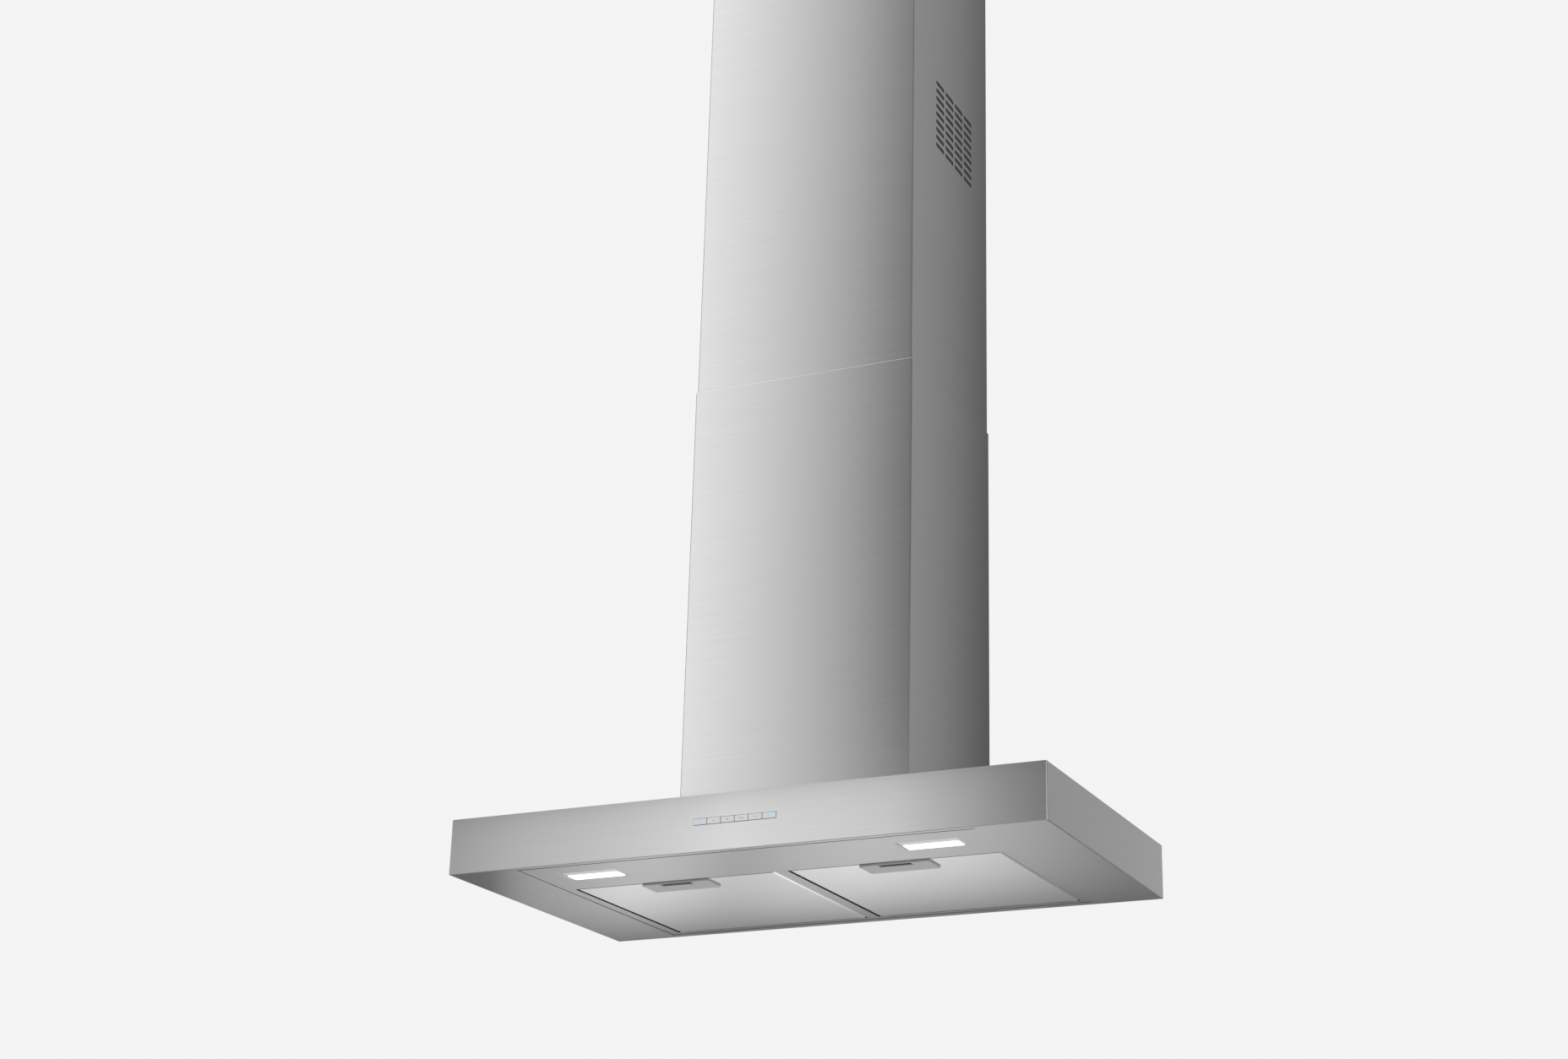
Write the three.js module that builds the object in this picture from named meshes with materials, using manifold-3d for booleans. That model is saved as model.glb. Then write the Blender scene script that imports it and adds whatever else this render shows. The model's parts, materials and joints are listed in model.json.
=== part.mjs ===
// Wall-mounted chimney range hood: a shallow steel canopy with lights, filters and a row of
// push buttons under a two-piece telescopic chimney that hides the fan.
//
// Millimetres, +Z up. X runs along the wall and -Y points into the room. Pieces are placed with
// y = 0 at the wall and z = 0 at the canopy's lower face. The exported group then moves down by
// half the canopy's height, so its origin is the middle of the face that lies against the wall.
import * as THREE from "three";
import { mergeVertices } from "three/addons/utils/BufferGeometryUtils.js";
import Module from "manifold-3d";

const wasm = await Module();
wasm.setup();

// ---------------------------------------------------------------- driving dimensions

const SHEET = 1.2; // stainless sheet of the canopy, panels and chimneys
const SEAT = 0.3; // gap between two pieces that rest on each other
const THROUGH = 5; // how far a cutting tool runs past the faces that it cuts

const canopy = { width: 900, depth: 500, height: 80 };
const opening = { sideBorder: 104, frontLip: 9, rearLip: 12 }; // borders of the canopy's lower face
const panelLap = 12; // how far the inner panels lie over the border of the opening

const backPlate = {
  thickness: 1.5,
  keyholeSpacing: 600,
  keyholeRise: 12,
  headRadius: 5.5,
  neckWidth: 6,
  neckLength: 12,
};

const strip = { depth: 142, flange: 14 }; // the panel that carries the lamps, and its upturned edge

const lamp = {
  lensWidth: 81,
  lensDepth: 25,
  lensThickness: 3,
  sideBorder: 6.5, // the bezel's borders round the lens: the front one is the widest
  frontBorder: 17.5,
  rearBorder: 1.5,
  height: 12,
  insetX: 88, // from the side of the opening to the lens's centre
  insetY: 75, // from the front of the opening to the lens's centre
  proud: 0.4,
  boardThickness: 1.6,
};

const support = { sideRail: 14.5, bar: 17, rearRail: 9.5 }; // visible widths beside the filters

const filter = {
  gap: 2.5,
  faceThickness: 1.2,
  rimHeight: 7.5,
  meshHeight: 6,
  hookWidth: 24,
  hookReach: 12,
  hookThickness: 1.5,
  hookSpacing: 200,
};

const latch = {
  plateWidth: 105,
  plateDepth: 45,
  plateThickness: 2.6,
  slotWidth: 50,
  slotDepth: 12,
  slotInset: 1.5, // from the filter's front edge to the slot
  land: 1.5, // of the filter's rim, behind the slot
  boltPlay: 3,
  boltThickness: 3,
  tabThickness: 1.5,
  travel: 4,
  clearance: 0.4,
};

const button = {
  count: 6,
  pitch: 20.9,
  gap: 1,
  height: 8.2,
  depth: 8,
  proud: 1,
  aboveFloor: 42,
  travel: 1.5,
};

const carrier = { wall: 2, floor: 3 };
const board = { width: 150, height: 34, thickness: 1.6 };
const driver = { width: 160, depth: 70, height: 26, offsetX: 210, behindFront: 40 };

const lowerChimney = { width: 362, depth: 320, top: 776, returnFlange: 20 };
const upperChimney = { play: 0.5, overlap: 65, top: 1625 };
const foot = { width: 60, leg: 12 };
const bracket = { width: 260, height: 34, depth: 22, thickness: 2, belowTop: 12 };
const screw = { radius: 2.4, headRadius: 4.4, headHeight: 2.4, length: 9 };

const vents = {
  columns: 4,
  rows: 9,
  length: 34,
  height: 7,
  pitchY: 40,
  pitchZ: 14,
  fromWall: 148,
  belowTop: 381,
};

// The fan chamber stands on the canopy with these gaps to the lower chimney and to the wall.
const chamber = { sideGap: 36, frontGap: 30, wallGap: 40, flange: 12, inletInset: 20 };

// The scroll housing fills the chamber but for these gaps, and its radius grows round the wheel.
const scroll = {
  frontGap: 10,
  rearGap: 30,
  floorGap: 15,
  neck: 35,
  growth: 30,
  width: 150,
  wall: 2,
};

const wheel = {
  cutoffGap: 7,
  sideGap: 11,
  bladeDepth: 16,
  bladeThickness: 1.2,
  bladeTilt: 30,
  blades: 24,
  discThickness: 3,
  ringWidth: 4,
  hubRadius: 10,
  hubWidth: 16,
};

const motor = { wheelGap: 20, hubGap: 2, shaftRadius: 4, bracketWidth: 10, bracketThickness: 3.5 };

const collar = {
  radius: 75,
  wall: 1.2,
  height: 60,
  flangeWidth: 10,
  bead: 2,
  flapHeight: 30,
  ledge: 4,
  ledgeThickness: 2.2,
};
const flap = { thickness: 1.2, rimClearance: 1.3, hingeInset: 3, pinRadius: 2 };

const capacitor = { radius: 16, height: 60, collarGap: 17, fromWall: 72 };
const terminal = { width: 42, depth: 80, height: 38, wall: 2, collarGap: 13, fromWall: 165 };
const gland = { radius: 9, boreRadius: 4.5, height: 14 };

// ---------------------------------------------------------------- places worked out from them

const half = (value) => value / 2;
const centred = (middle, size) => [middle - half(size), middle + half(size)];
const radians = THREE.MathUtils.degToRad;

const openingX = half(canopy.width) - opening.sideBorder;
const openingFront = -canopy.depth + opening.frontLip;
const openingRear = -opening.rearLip;
const panelFloor = SHEET + SEAT; // lower face of the lamp panel, the rails and the filters
const panelTop = panelFloor + SHEET;
const stripRear = openingFront + strip.depth;

const bayInner = half(support.bar); // each filter bay runs from here ...
const bayOuter = openingX - support.sideRail; // ... to here, on either side of the middle
const bayRear = openingRear - support.rearRail;

const filterWidth = bayOuter - bayInner - 2 * filter.gap;
const filterX = half(bayInner + bayOuter);
const filterFront = stripRear + filter.gap;
const filterRear = bayRear - filter.gap;
const rimWidth = latch.slotInset + latch.slotDepth + latch.land;
const rimFloor = panelFloor + filter.faceThickness + SEAT;

const chimneyFloor = canopy.height + SEAT;
const innerWidth = lowerChimney.width - 2 * (SHEET + upperChimney.play);
const innerDepth = lowerChimney.depth - SHEET - upperChimney.play;
const innerBack = -(SHEET + upperChimney.play);

const chamberRear = -chamber.wallGap;
const chamberFront = -lowerChimney.depth + chamber.frontGap;
const chamberX = centred(0, lowerChimney.width - 2 * chamber.sideGap);

// The scroll's radius is smallest at the cut-off above the wheel. A quarter turn on, at the
// front, it has grown by a third, at the bottom by two thirds, and at the outlet in full.
const scrollSpan = chamberRear - scroll.rearGap - (chamberFront + scroll.frontGap);
const cutoffRadius = half(scrollSpan - (4 / 3) * scroll.growth);
const outletRadius = cutoffRadius + scroll.growth;
const fanY = chamberRear - scroll.rearGap - outletRadius;
const fanZ = chimneyFloor + scroll.floorGap + cutoffRadius + (2 / 3) * scroll.growth;
const chamberTop = fanZ + cutoffRadius + scroll.neck;
const wheelRadius = cutoffRadius - wheel.cutoffGap;
const intakeRadius = wheelRadius - wheel.bladeDepth;
const outletFront = fanY;
const outletRear = fanY + outletRadius;
const collarY = half(outletFront + outletRear);
const collarFloor = chamberTop + SEAT;
const flapZ = collarFloor + collar.flapHeight;
const collarReach = collar.radius + collar.flangeWidth;

const buttonFront = -canopy.depth - button.proud;
const buttonWidth = button.pitch - button.gap;
const carrierFront = -canopy.depth + SHEET + SEAT;
const carrierRear = buttonFront + button.depth + button.travel + SEAT + carrier.floor;

// ---------------------------------------------------------------- materials

function metal(color, roughness) {
  return new THREE.MeshStandardMaterial({ color, roughness, metalness: 1 });
}

function plastic(color, roughness) {
  return new THREE.MeshStandardMaterial({ color, roughness, metalness: 0 });
}

const materials = {
  brushedSteel: metal(0xc9cacb, 0.35),
  filterSteel: metal(0xd6d7d8, 0.4),
  aluminiumMesh: metal(0xb4b6b8, 0.55),
  galvanised: metal(0xa5a9ab, 0.5),
  latchGrey: plastic(0xa8aaab, 0.5),
  darkPlastic: plastic(0x2a2b2d, 0.6),
  buttonPlastic: plastic(0xe6e8ea, 0.25),
  lampDiffuser: plastic(0xffffff, 0.3),
  circuitBoard: plastic(0x2c5a38, 0.6),
  fanPlastic: plastic(0x3c3e41, 0.55),
  motorSteel: metal(0x6f7376, 0.5),
  flapPlastic: plastic(0x8a8d90, 0.6),
};

// ---------------------------------------------------------------- geometry helpers

// A closed geometry, from a three.js class, as a solid that can be cut and joined.
function solid(geometry) {
  const bare = geometry.clone();
  bare.deleteAttribute("normal");
  bare.deleteAttribute("uv");
  const merged = mergeVertices(bare, 1e-4);
  return new wasm.Manifold(
    new wasm.Mesh({
      numProp: 3,
      vertProperties: merged.attributes.position.array,
      triVerts: new Uint32Array(merged.index.array),
    }),
  );
}

function geometryOf(body) {
  const mesh = body.getMesh();
  return new THREE.BufferGeometry()
    .setAttribute("position", new THREE.BufferAttribute(mesh.vertProperties, 3))
    .setIndex(new THREE.BufferAttribute(mesh.triVerts, 1));
}

// A block between two limits on each axis.
function block([x0, x1], [y0, y1], [z0, z1]) {
  const geometry = new THREE.BoxGeometry(x1 - x0, y1 - y0, z1 - z0);
  geometry.translate(half(x0 + x1), half(y0 + y1), half(z0 + z1));
  return solid(geometry);
}

// A disc or a rod that stands on z0, round the axis (x, y).
function cylinderZ(x, y, [z0, z1], radius, segments = 48) {
  const geometry = new THREE.CylinderGeometry(radius, radius, z1 - z0, segments);
  geometry.rotateX(half(Math.PI));
  geometry.translate(x, y, half(z0 + z1));
  return solid(geometry);
}

function cylinderX([x0, x1], y, z, radius, segments = 48) {
  const geometry = new THREE.CylinderGeometry(radius, radius, x1 - x0, segments);
  geometry.rotateZ(half(Math.PI));
  geometry.translate(half(x0 + x1), y, z);
  return solid(geometry);
}

function cylinderY(x, [y0, y1], z, radius, segments = 20) {
  const geometry = new THREE.CylinderGeometry(radius, radius, y1 - y0, segments);
  geometry.translate(x, half(y0 + y1), z);
  return solid(geometry);
}

// A shape drawn in (y, z) and extruded along X.
function extrudeX(shape, [x0, x1], curveSegments = 12) {
  const geometry = new THREE.ExtrudeGeometry(shape, {
    depth: x1 - x0,
    bevelEnabled: false,
    curveSegments,
  });
  const drawnY = new THREE.Vector3(0, 1, 0);
  const drawnZ = new THREE.Vector3(0, 0, 1);
  const along = new THREE.Vector3(1, 0, 0);
  geometry.applyMatrix4(new THREE.Matrix4().makeBasis(drawnY, drawnZ, along));
  geometry.translate(x0, 0, 0);
  return solid(geometry);
}

function join(...bodies) {
  return bodies.reduce((sum, body) => sum.add(body));
}

function cut(body, ...tools) {
  return tools.reduce((rest, tool) => rest.subtract(tool), body);
}

const hood = new THREE.Group();
hood.position.z = -half(canopy.height);

function addPiece(name, body, material) {
  const piece = new THREE.Mesh(geometryOf(body), material);
  piece.name = name;
  hood.add(piece);
}

const SIDES = [
  { suffix: "left", sign: -1 },
  { suffix: "right", sign: 1 },
];

// The same limits on the left or on the right of the middle.
function mirrored([x0, x1], sign) {
  return sign > 0 ? [x0, x1] : [-x1, -x0];
}

// ---------------------------------------------------------------- canopy

const buttonRow = {
  x: centred(0, button.count * button.pitch),
  z: centred(button.aboveFloor, button.height + button.gap),
};

function addCanopyShell() {
  const outer = half(canopy.width);
  const inner = outer - SHEET;
  const shell = cut(
    block([-outer, outer], [-canopy.depth, 0], [0, canopy.height]),
    block([-inner, inner], [-canopy.depth + SHEET, THROUGH], [SHEET, canopy.height - SHEET]),
    block([-openingX, openingX], [openingFront, openingRear], [-THROUGH, 2 * SHEET]),
    airInlet([canopy.height - 2 * SHEET, canopy.height + THROUGH]),
    block(buttonRow.x, [-canopy.depth - THROUGH, -canopy.depth + 2 * SHEET], buttonRow.z),
  );
  addPiece("canopy_shell", shell, materials.brushedSteel);
}

// The passage from the canopy into the fan chamber.
function airInlet(z) {
  const inset = chamber.inletInset;
  const x = [chamberX[0] + inset, chamberX[1] - inset];
  return block(x, [chamberFront + inset, chamberRear - inset], z);
}

function addBackPlate() {
  const halfWidth = half(canopy.width) - SHEET - SEAT;
  const z = [SHEET + SEAT, canopy.height - SHEET - SEAT];
  const y = [-backPlate.thickness, 0];
  const through = [-backPlate.thickness - THROUGH, THROUGH];
  let plate = block([-halfWidth, halfWidth], y, z);
  const keyholeZ = half(canopy.height) + backPlate.keyholeRise - backPlate.neckLength;
  for (const x of centred(0, backPlate.keyholeSpacing)) {
    const neckX = centred(x, backPlate.neckWidth);
    const neckZ = [keyholeZ, keyholeZ + backPlate.neckLength];
    const head = cylinderY(x, through, keyholeZ, backPlate.headRadius);
    plate = cut(plate, head, block(neckX, through, neckZ));
  }
  addPiece("back_plate", plate, materials.galvanised);
}

// The flat panel between the front lip and the filters, with a lamp at each end.
function addLampStrip() {
  const x = centred(0, 2 * (openingX + panelLap));
  const front = -canopy.depth + SHEET + SEAT;
  let panel = join(
    block(x, [front, stripRear], [panelFloor, panelTop]),
    block(x, [stripRear - SHEET, stripRear], [panelFloor, panelTop + strip.flange]),
  );
  for (const { sign } of SIDES) {
    panel = cut(panel, keeperSlot(sign), lampCutout(sign));
  }
  addPiece("lamp_strip", panel, materials.brushedSteel);
}

function keeperSlot(sign) {
  const x = centred(sign * filterX, boltWidth + 2);
  const y = [stripRear - SHEET - THROUGH, stripRear + THROUGH];
  return block(x, y, [boltZ[0] - 1, boltZ[1] + 1]);
}

const lampX = openingX - lamp.insetX;
const lensY = centred(openingFront + lamp.insetY, lamp.lensDepth);
const bezelWidth = lamp.lensWidth + 2 * lamp.sideBorder;
const bezelY = [lensY[0] - lamp.frontBorder, lensY[1] + lamp.rearBorder];

function lampCutout(sign) {
  const x = centred(sign * lampX, bezelWidth);
  return block(x, bezelY, [panelFloor - THROUGH, panelTop + THROUGH]);
}

function addLamp({ suffix, sign }) {
  const x = sign * lampX;
  const bezelZ = [panelFloor, panelFloor + lamp.height];
  const through = [bezelZ[0] - THROUGH, bezelZ[1] + THROUGH];
  const lensHole = [lensY[0] - SEAT, lensY[1] + SEAT];
  const bezel = cut(
    block(centred(x, bezelWidth - 2 * SEAT), [bezelY[0] + SEAT, bezelY[1] - SEAT], bezelZ),
    block(centred(x, lamp.lensWidth + 2 * SEAT), lensHole, through),
  );
  addPiece(`lamp_bezel_${suffix}`, bezel, materials.galvanised);

  const lensX = centred(x, lamp.lensWidth);
  const lensFloor = panelFloor - lamp.proud;
  const lensTop = lensFloor + lamp.lensThickness;
  const lens = block(lensX, lensY, [lensFloor, lensTop]);
  addPiece(`lamp_lens_${suffix}`, lens, materials.lampDiffuser);

  const boardFloor = lensTop + SEAT;
  const lampBoard = block(lensX, lensY, [boardFloor, boardFloor + lamp.boardThickness]);
  addPiece(`lamp_board_${suffix}`, lampBoard, materials.circuitBoard);
}

// Rails that carry the filters: one on each side, one along the wall and a bar in the middle.
function addFilterSupport() {
  const x = centred(0, 2 * (openingX + panelLap));
  const front = stripRear + SEAT;
  const rear = -backPlate.thickness - SEAT;
  const bays = SIDES.map(({ sign }) =>
    block(mirrored([bayInner, bayOuter], sign), [front - THROUGH, bayRear], [0, panelTop + THROUGH]),
  );
  const rails = cut(block(x, [front, rear], [panelFloor, panelTop]), ...bays);
  addPiece("filter_support", rails, materials.brushedSteel);
}

// ---------------------------------------------------------------- filters and their latches

const boltFloor = rimFloor + 1;
const boltZ = [boltFloor, boltFloor + latch.boltThickness];
const boltFront = stripRear + latch.clearance;
const boltWidth = latch.slotWidth - 2 * latch.boltPlay;
const slotY = [
  filterFront + latch.slotInset,
  filterFront + latch.slotInset + latch.slotDepth,
];
const tabRear = slotY[1] - latch.travel - SEAT;

function addFilter({ suffix, sign }) {
  const middle = sign * filterX;
  const x = centred(middle, filterWidth);
  const y = [filterFront, filterRear];
  const window = latchWindow(middle, [panelFloor - THROUGH, boltZ[0]]);

  const face = cut(block(x, y, [panelFloor, panelFloor + filter.faceThickness]), window);
  addPiece(`filter_face_${suffix}`, face, materials.filterSteel);

  const rimZ = [rimFloor, rimFloor + filter.rimHeight];
  const coreX = centred(middle, filterWidth - 2 * rimWidth);
  const coreY = [filterFront + rimWidth, filterRear - rimWidth];
  const boltTrack = block(
    centred(middle, boltWidth + 2 * SEAT),
    [filterFront - THROUGH, coreY[0] + THROUGH],
    [boltZ[0] - SEAT, boltZ[1] + SEAT],
  );
  const hooks = centred(middle, filter.hookSpacing).map((hookX) =>
    block(
      centred(hookX, filter.hookWidth),
      [filterRear - rimWidth, filterRear + filter.hookReach],
      [rimFloor, rimFloor + filter.hookThickness],
    ),
  );
  const rim = cut(
    block(x, y, rimZ),
    block(coreX, coreY, [rimFloor - THROUGH, rimZ[1] + THROUGH]),
    boltTrack,
    window,
  );
  addPiece(`filter_rim_${suffix}`, join(rim, ...hooks), materials.galvanised);

  const meshX = [coreX[0] + SEAT, coreX[1] - SEAT];
  const meshY = [coreY[0] + SEAT, coreY[1] - SEAT];
  const mesh = block(meshX, meshY, [rimFloor, rimFloor + filter.meshHeight]);
  addPiece(`filter_mesh_${suffix}`, mesh, materials.aluminiumMesh);
  addLatch(suffix, middle);
}

// The finger slot, as a tool that opens every layer under the latch bolt.
function latchWindow(middle, z) {
  return block(centred(middle, latch.slotWidth), slotY, z);
}

function addLatch(suffix, middle) {
  const plateTop = panelFloor - SEAT;
  const plateZ = [plateTop - latch.plateThickness, plateTop];
  const plateY = [filterFront, filterFront + latch.plateDepth];
  const plate = cut(
    block(centred(middle, latch.plateWidth), plateY, plateZ),
    latchWindow(middle, [plateZ[0] - THROUGH, plateZ[1] + THROUGH]),
  );
  addPiece(`latch_plate_${suffix}`, plate, materials.latchGrey);

  const x = centred(middle, boltWidth);
  const bolt = join(
    block(x, [boltFront, tabRear], boltZ),
    block(x, [tabRear - latch.tabThickness, tabRear], [plateZ[0] + SEAT, boltZ[1]]),
  );
  addPiece(`latch_bolt_${suffix}`, bolt, materials.darkPlastic);
}

// ---------------------------------------------------------------- push buttons and electronics

function addButtons() {
  const pocketRear = carrierRear - carrier.floor;
  const x = [buttonRow.x[0] - carrier.wall, buttonRow.x[1] + carrier.wall];
  const z = [buttonRow.z[0] - carrier.wall, buttonRow.z[1] + carrier.wall];
  let housing = block(x, [carrierFront, carrierRear], z);
  for (let i = 0; i < button.count; i++) {
    const middle = buttonRow.x[0] + (i + 0.5) * button.pitch;
    const pocket = block(
      centred(middle, buttonWidth + 2 * SEAT),
      [carrierFront - THROUGH, pocketRear],
      centred(button.aboveFloor, button.height + 2 * SEAT),
    );
    housing = cut(housing, pocket);
    const key = block(
      centred(middle, buttonWidth),
      [buttonFront, buttonFront + button.depth],
      centred(button.aboveFloor, button.height),
    );
    addPiece(`button_${i + 1}`, key, materials.buttonPlastic);
  }
  addPiece("button_carrier", housing, materials.darkPlastic);

  const boardFront = carrierRear + SEAT;
  const control = block(
    centred(0, board.width),
    [boardFront, boardFront + board.thickness],
    centred(button.aboveFloor, board.height),
  );
  addPiece("control_board", control, materials.circuitBoard);
}

// The lamps' power supply, a closed box under the canopy's top.
function addLampDriver() {
  const top = canopy.height - SHEET - SEAT;
  const front = -canopy.depth + driver.behindFront;
  const box = block(
    centred(-driver.offsetX, driver.width),
    [front, front + driver.depth],
    [top - driver.height, top],
  );
  addPiece("lamp_driver", box, materials.darkPlastic);
}

// ---------------------------------------------------------------- chimney

// A channel that is open towards the wall, with a narrow return flange on each side.
function channel(width, depth, back, [z0, z1], flange) {
  const outer = half(width);
  const inner = outer - SHEET;
  const front = back - depth;
  return cut(
    block([-outer, outer], [front, back], [z0, z1]),
    block([-inner, inner], [front + SHEET, back - SHEET], [z0 - THROUGH, z1 + THROUGH]),
    block(
      [-outer + flange, outer - flange],
      [back - 2 * SHEET, back + THROUGH],
      [z0 - THROUGH, z1 + THROUGH],
    ),
  );
}

function addLowerChimney() {
  const z = [chimneyFloor, lowerChimney.top];
  const body = channel(lowerChimney.width, lowerChimney.depth, 0, z, lowerChimney.returnFlange);
  addPiece("lower_chimney", body, materials.brushedSteel);
}

const upperFloor = lowerChimney.top - upperChimney.overlap;

function addUpperChimney() {
  const z = [upperFloor, upperChimney.top];
  const depth = innerDepth + innerBack;
  const body = channel(innerWidth, depth, innerBack, z, lowerChimney.returnFlange);
  addPiece("upper_chimney", cut(body, ...ventSlots()), materials.brushedSteel);
}

// Slots with round ends, cut straight through both sides of the upper chimney.
function ventSlots() {
  const slots = [];
  const x = [-half(innerWidth) - THROUGH, half(innerWidth) + THROUGH];
  for (let column = 0; column < vents.columns; column++) {
    for (let row = 0; row < vents.rows; row++) {
      const y = -vents.fromWall + (column - half(vents.columns - 1)) * vents.pitchY;
      const z = upperChimney.top - vents.belowTop + (row - half(vents.rows - 1)) * vents.pitchZ;
      slots.push(extrudeX(slotShape(y, z), x, 3));
    }
  }
  return slots;
}

function slotShape(y, z) {
  const radius = half(vents.height);
  const reach = half(vents.length) - radius;
  const shape = new THREE.Shape();
  shape.absarc(y + reach, z, radius, -half(Math.PI), half(Math.PI), false);
  shape.absarc(y - reach, z, radius, half(Math.PI), 1.5 * Math.PI, false);
  return shape;
}

// An angle on the canopy's top that the lower chimney is fixed to.
function addChimneyFoot({ suffix, sign }) {
  const wall = half(lowerChimney.width) - SHEET - SEAT;
  const y = centred(-half(lowerChimney.depth), foot.width);
  const angle = join(
    block(mirrored([wall - foot.leg, wall], sign), y, [chimneyFloor, chimneyFloor + SHEET]),
    block(mirrored([wall - SHEET, wall], sign), y, [chimneyFloor, chimneyFloor + foot.leg]),
  );
  addPiece(`chimney_foot_${suffix}`, angle, materials.galvanised);
}

// The bracket that holds the top of the upper chimney to the wall, with a screw on each side.
function addChimneyBracket() {
  const top = upperChimney.top - bracket.belowTop;
  const z = [top - bracket.height, top];
  const side = half(innerWidth) - SHEET - SEAT;
  const web = half(bracket.width);
  const ears = SIDES.map(({ sign }) =>
    join(
      block(mirrored([web - bracket.thickness, web], sign), [-bracket.depth, 0], z),
      block(
        mirrored([web - bracket.thickness, side], sign),
        [-bracket.depth, -bracket.depth + bracket.thickness],
        z,
      ),
      block(
        mirrored([side - bracket.thickness, side], sign),
        [-2 * bracket.depth, -bracket.depth + bracket.thickness],
        z,
      ),
    ),
  );
  const plate = block([-web, web], [-bracket.thickness, 0], z);
  const screwY = -1.5 * bracket.depth;
  const screwZ = half(z[0] + z[1]);
  const holes = cylinderX([-side - THROUGH, side + THROUGH], screwY, screwZ, screw.radius + SEAT, 16);
  addPiece("chimney_bracket", cut(join(plate, ...ears), holes), materials.galvanised);
  for (const { suffix, sign } of SIDES) {
    const tip = half(innerWidth) - SHEET - SEAT;
    const shank = cylinderX(mirrored([tip - screw.length, tip], sign), screwY, screwZ, screw.radius, 16);
    const headX = [
      side - bracket.thickness - SEAT - screw.headHeight,
      side - bracket.thickness - SEAT,
    ];
    const head = cylinderX(mirrored(headX, sign), screwY, screwZ, screw.headRadius, 16);
    addPiece(`bracket_screw_${suffix}`, join(shank, head), materials.motorSteel);
  }
}

// ---------------------------------------------------------------- fan chamber, scroll and motor

function addFanChamber() {
  const x = chamberX;
  const outer = block(x, [chamberFront, chamberRear], [chimneyFloor, chamberTop]);
  const flangeX = [x[0] - chamber.flange, x[1] + chamber.flange];
  const flangeY = [chamberFront - chamber.flange, chamberRear + chamber.flange];
  const flange = block(flangeX, flangeY, [chimneyFloor, chimneyFloor + SHEET]);
  const hollow = block(
    [x[0] + SHEET, x[1] - SHEET],
    [chamberFront + SHEET, chamberRear - SHEET],
    [chimneyFloor - THROUGH, chamberTop - SHEET],
  );
  const outletRadius = half(outletRear - outletFront);
  const outlet = cylinderZ(0, collarY, [chamberTop - THROUGH, chamberTop + THROUGH], outletRadius);
  addPiece("fan_chamber", cut(join(outer, flange), hollow, outlet), materials.galvanised);
}

// Outline of the scroll in (y, z), drawn in by a wall thickness where it is asked for. The
// radius grows steadily from the cut-off over the wheel to the outlet's rear wall.
function scrollShape(inset, top) {
  const steps = 27;
  const shape = new THREE.Shape();
  shape.moveTo(outletRear - inset, top);
  shape.lineTo(outletFront + inset, top);
  for (let i = 0; i <= steps; i++) {
    const share = i / steps;
    const angle = half(Math.PI) + share * 1.5 * Math.PI;
    const radius = cutoffRadius + scroll.growth * share - inset;
    const shift = i === 0 ? inset : 0;
    shape.lineTo(fanY + shift + radius * Math.cos(angle), fanZ + radius * Math.sin(angle));
  }
  shape.closePath();
  return shape;
}

function addScroll() {
  const top = chamberTop - SHEET - SEAT;
  const halfWidth = half(scroll.width);
  const inner = halfWidth - scroll.wall;
  const intake = cylinderX([-halfWidth - THROUGH, halfWidth + THROUGH], fanY, fanZ, intakeRadius);
  const shell = cut(
    extrudeX(scrollShape(0, top), [-halfWidth, halfWidth]),
    extrudeX(scrollShape(scroll.wall, top + THROUGH), [-inner, inner]),
    intake,
  );
  const everything = 4 * outletRadius;
  for (const { suffix, sign } of SIDES) {
    const keep = block(
      mirrored([half(SEAT), halfWidth + THROUGH], sign),
      centred(fanY, everything),
      centred(fanZ, everything),
    );
    addPiece(`scroll_${suffix}`, shell.intersect(keep), materials.fanPlastic);
  }
}

// A double-inlet wheel: blades between two end rings, carried by a disc in the middle.
function addImpeller() {
  const width = scroll.width - 2 * (scroll.wall + wheel.sideGap);
  const wheelX = centred(0, width);
  const parts = [cylinderX(centred(0, wheel.discThickness), fanY, fanZ, wheelRadius)];
  for (const x0 of [wheelX[0], wheelX[1] - wheel.ringWidth]) {
    const x = [x0, x0 + wheel.ringWidth];
    const hole = cylinderX([x[0] - THROUGH, x[1] + THROUGH], fanY, fanZ, intakeRadius);
    parts.push(cut(cylinderX(x, fanY, fanZ, wheelRadius), hole));
  }
  for (let i = 0; i < wheel.blades; i++) {
    const bladeWidth = 0.8 * wheel.bladeDepth; // clear of the ring's edges when it is tilted
    const blade = new THREE.BoxGeometry(width - wheel.ringWidth, bladeWidth, wheel.bladeThickness);
    blade.rotateX(radians(wheel.bladeTilt));
    blade.translate(0, wheelRadius - half(wheel.bladeDepth), 0);
    blade.rotateX((i * 2 * Math.PI) / wheel.blades);
    blade.translate(0, fanY, fanZ);
    parts.push(solid(blade));
  }
  parts.push(cylinderX(centred(0, wheel.hubWidth), fanY, fanZ, wheel.hubRadius, 24));
  const bore = cylinderX(
    centred(0, wheel.hubWidth + 2 * THROUGH),
    fanY,
    fanZ,
    motor.shaftRadius + SEAT,
    24,
  );
  addPiece("impeller", cut(join(...parts), bore), materials.fanPlastic);
}

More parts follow.
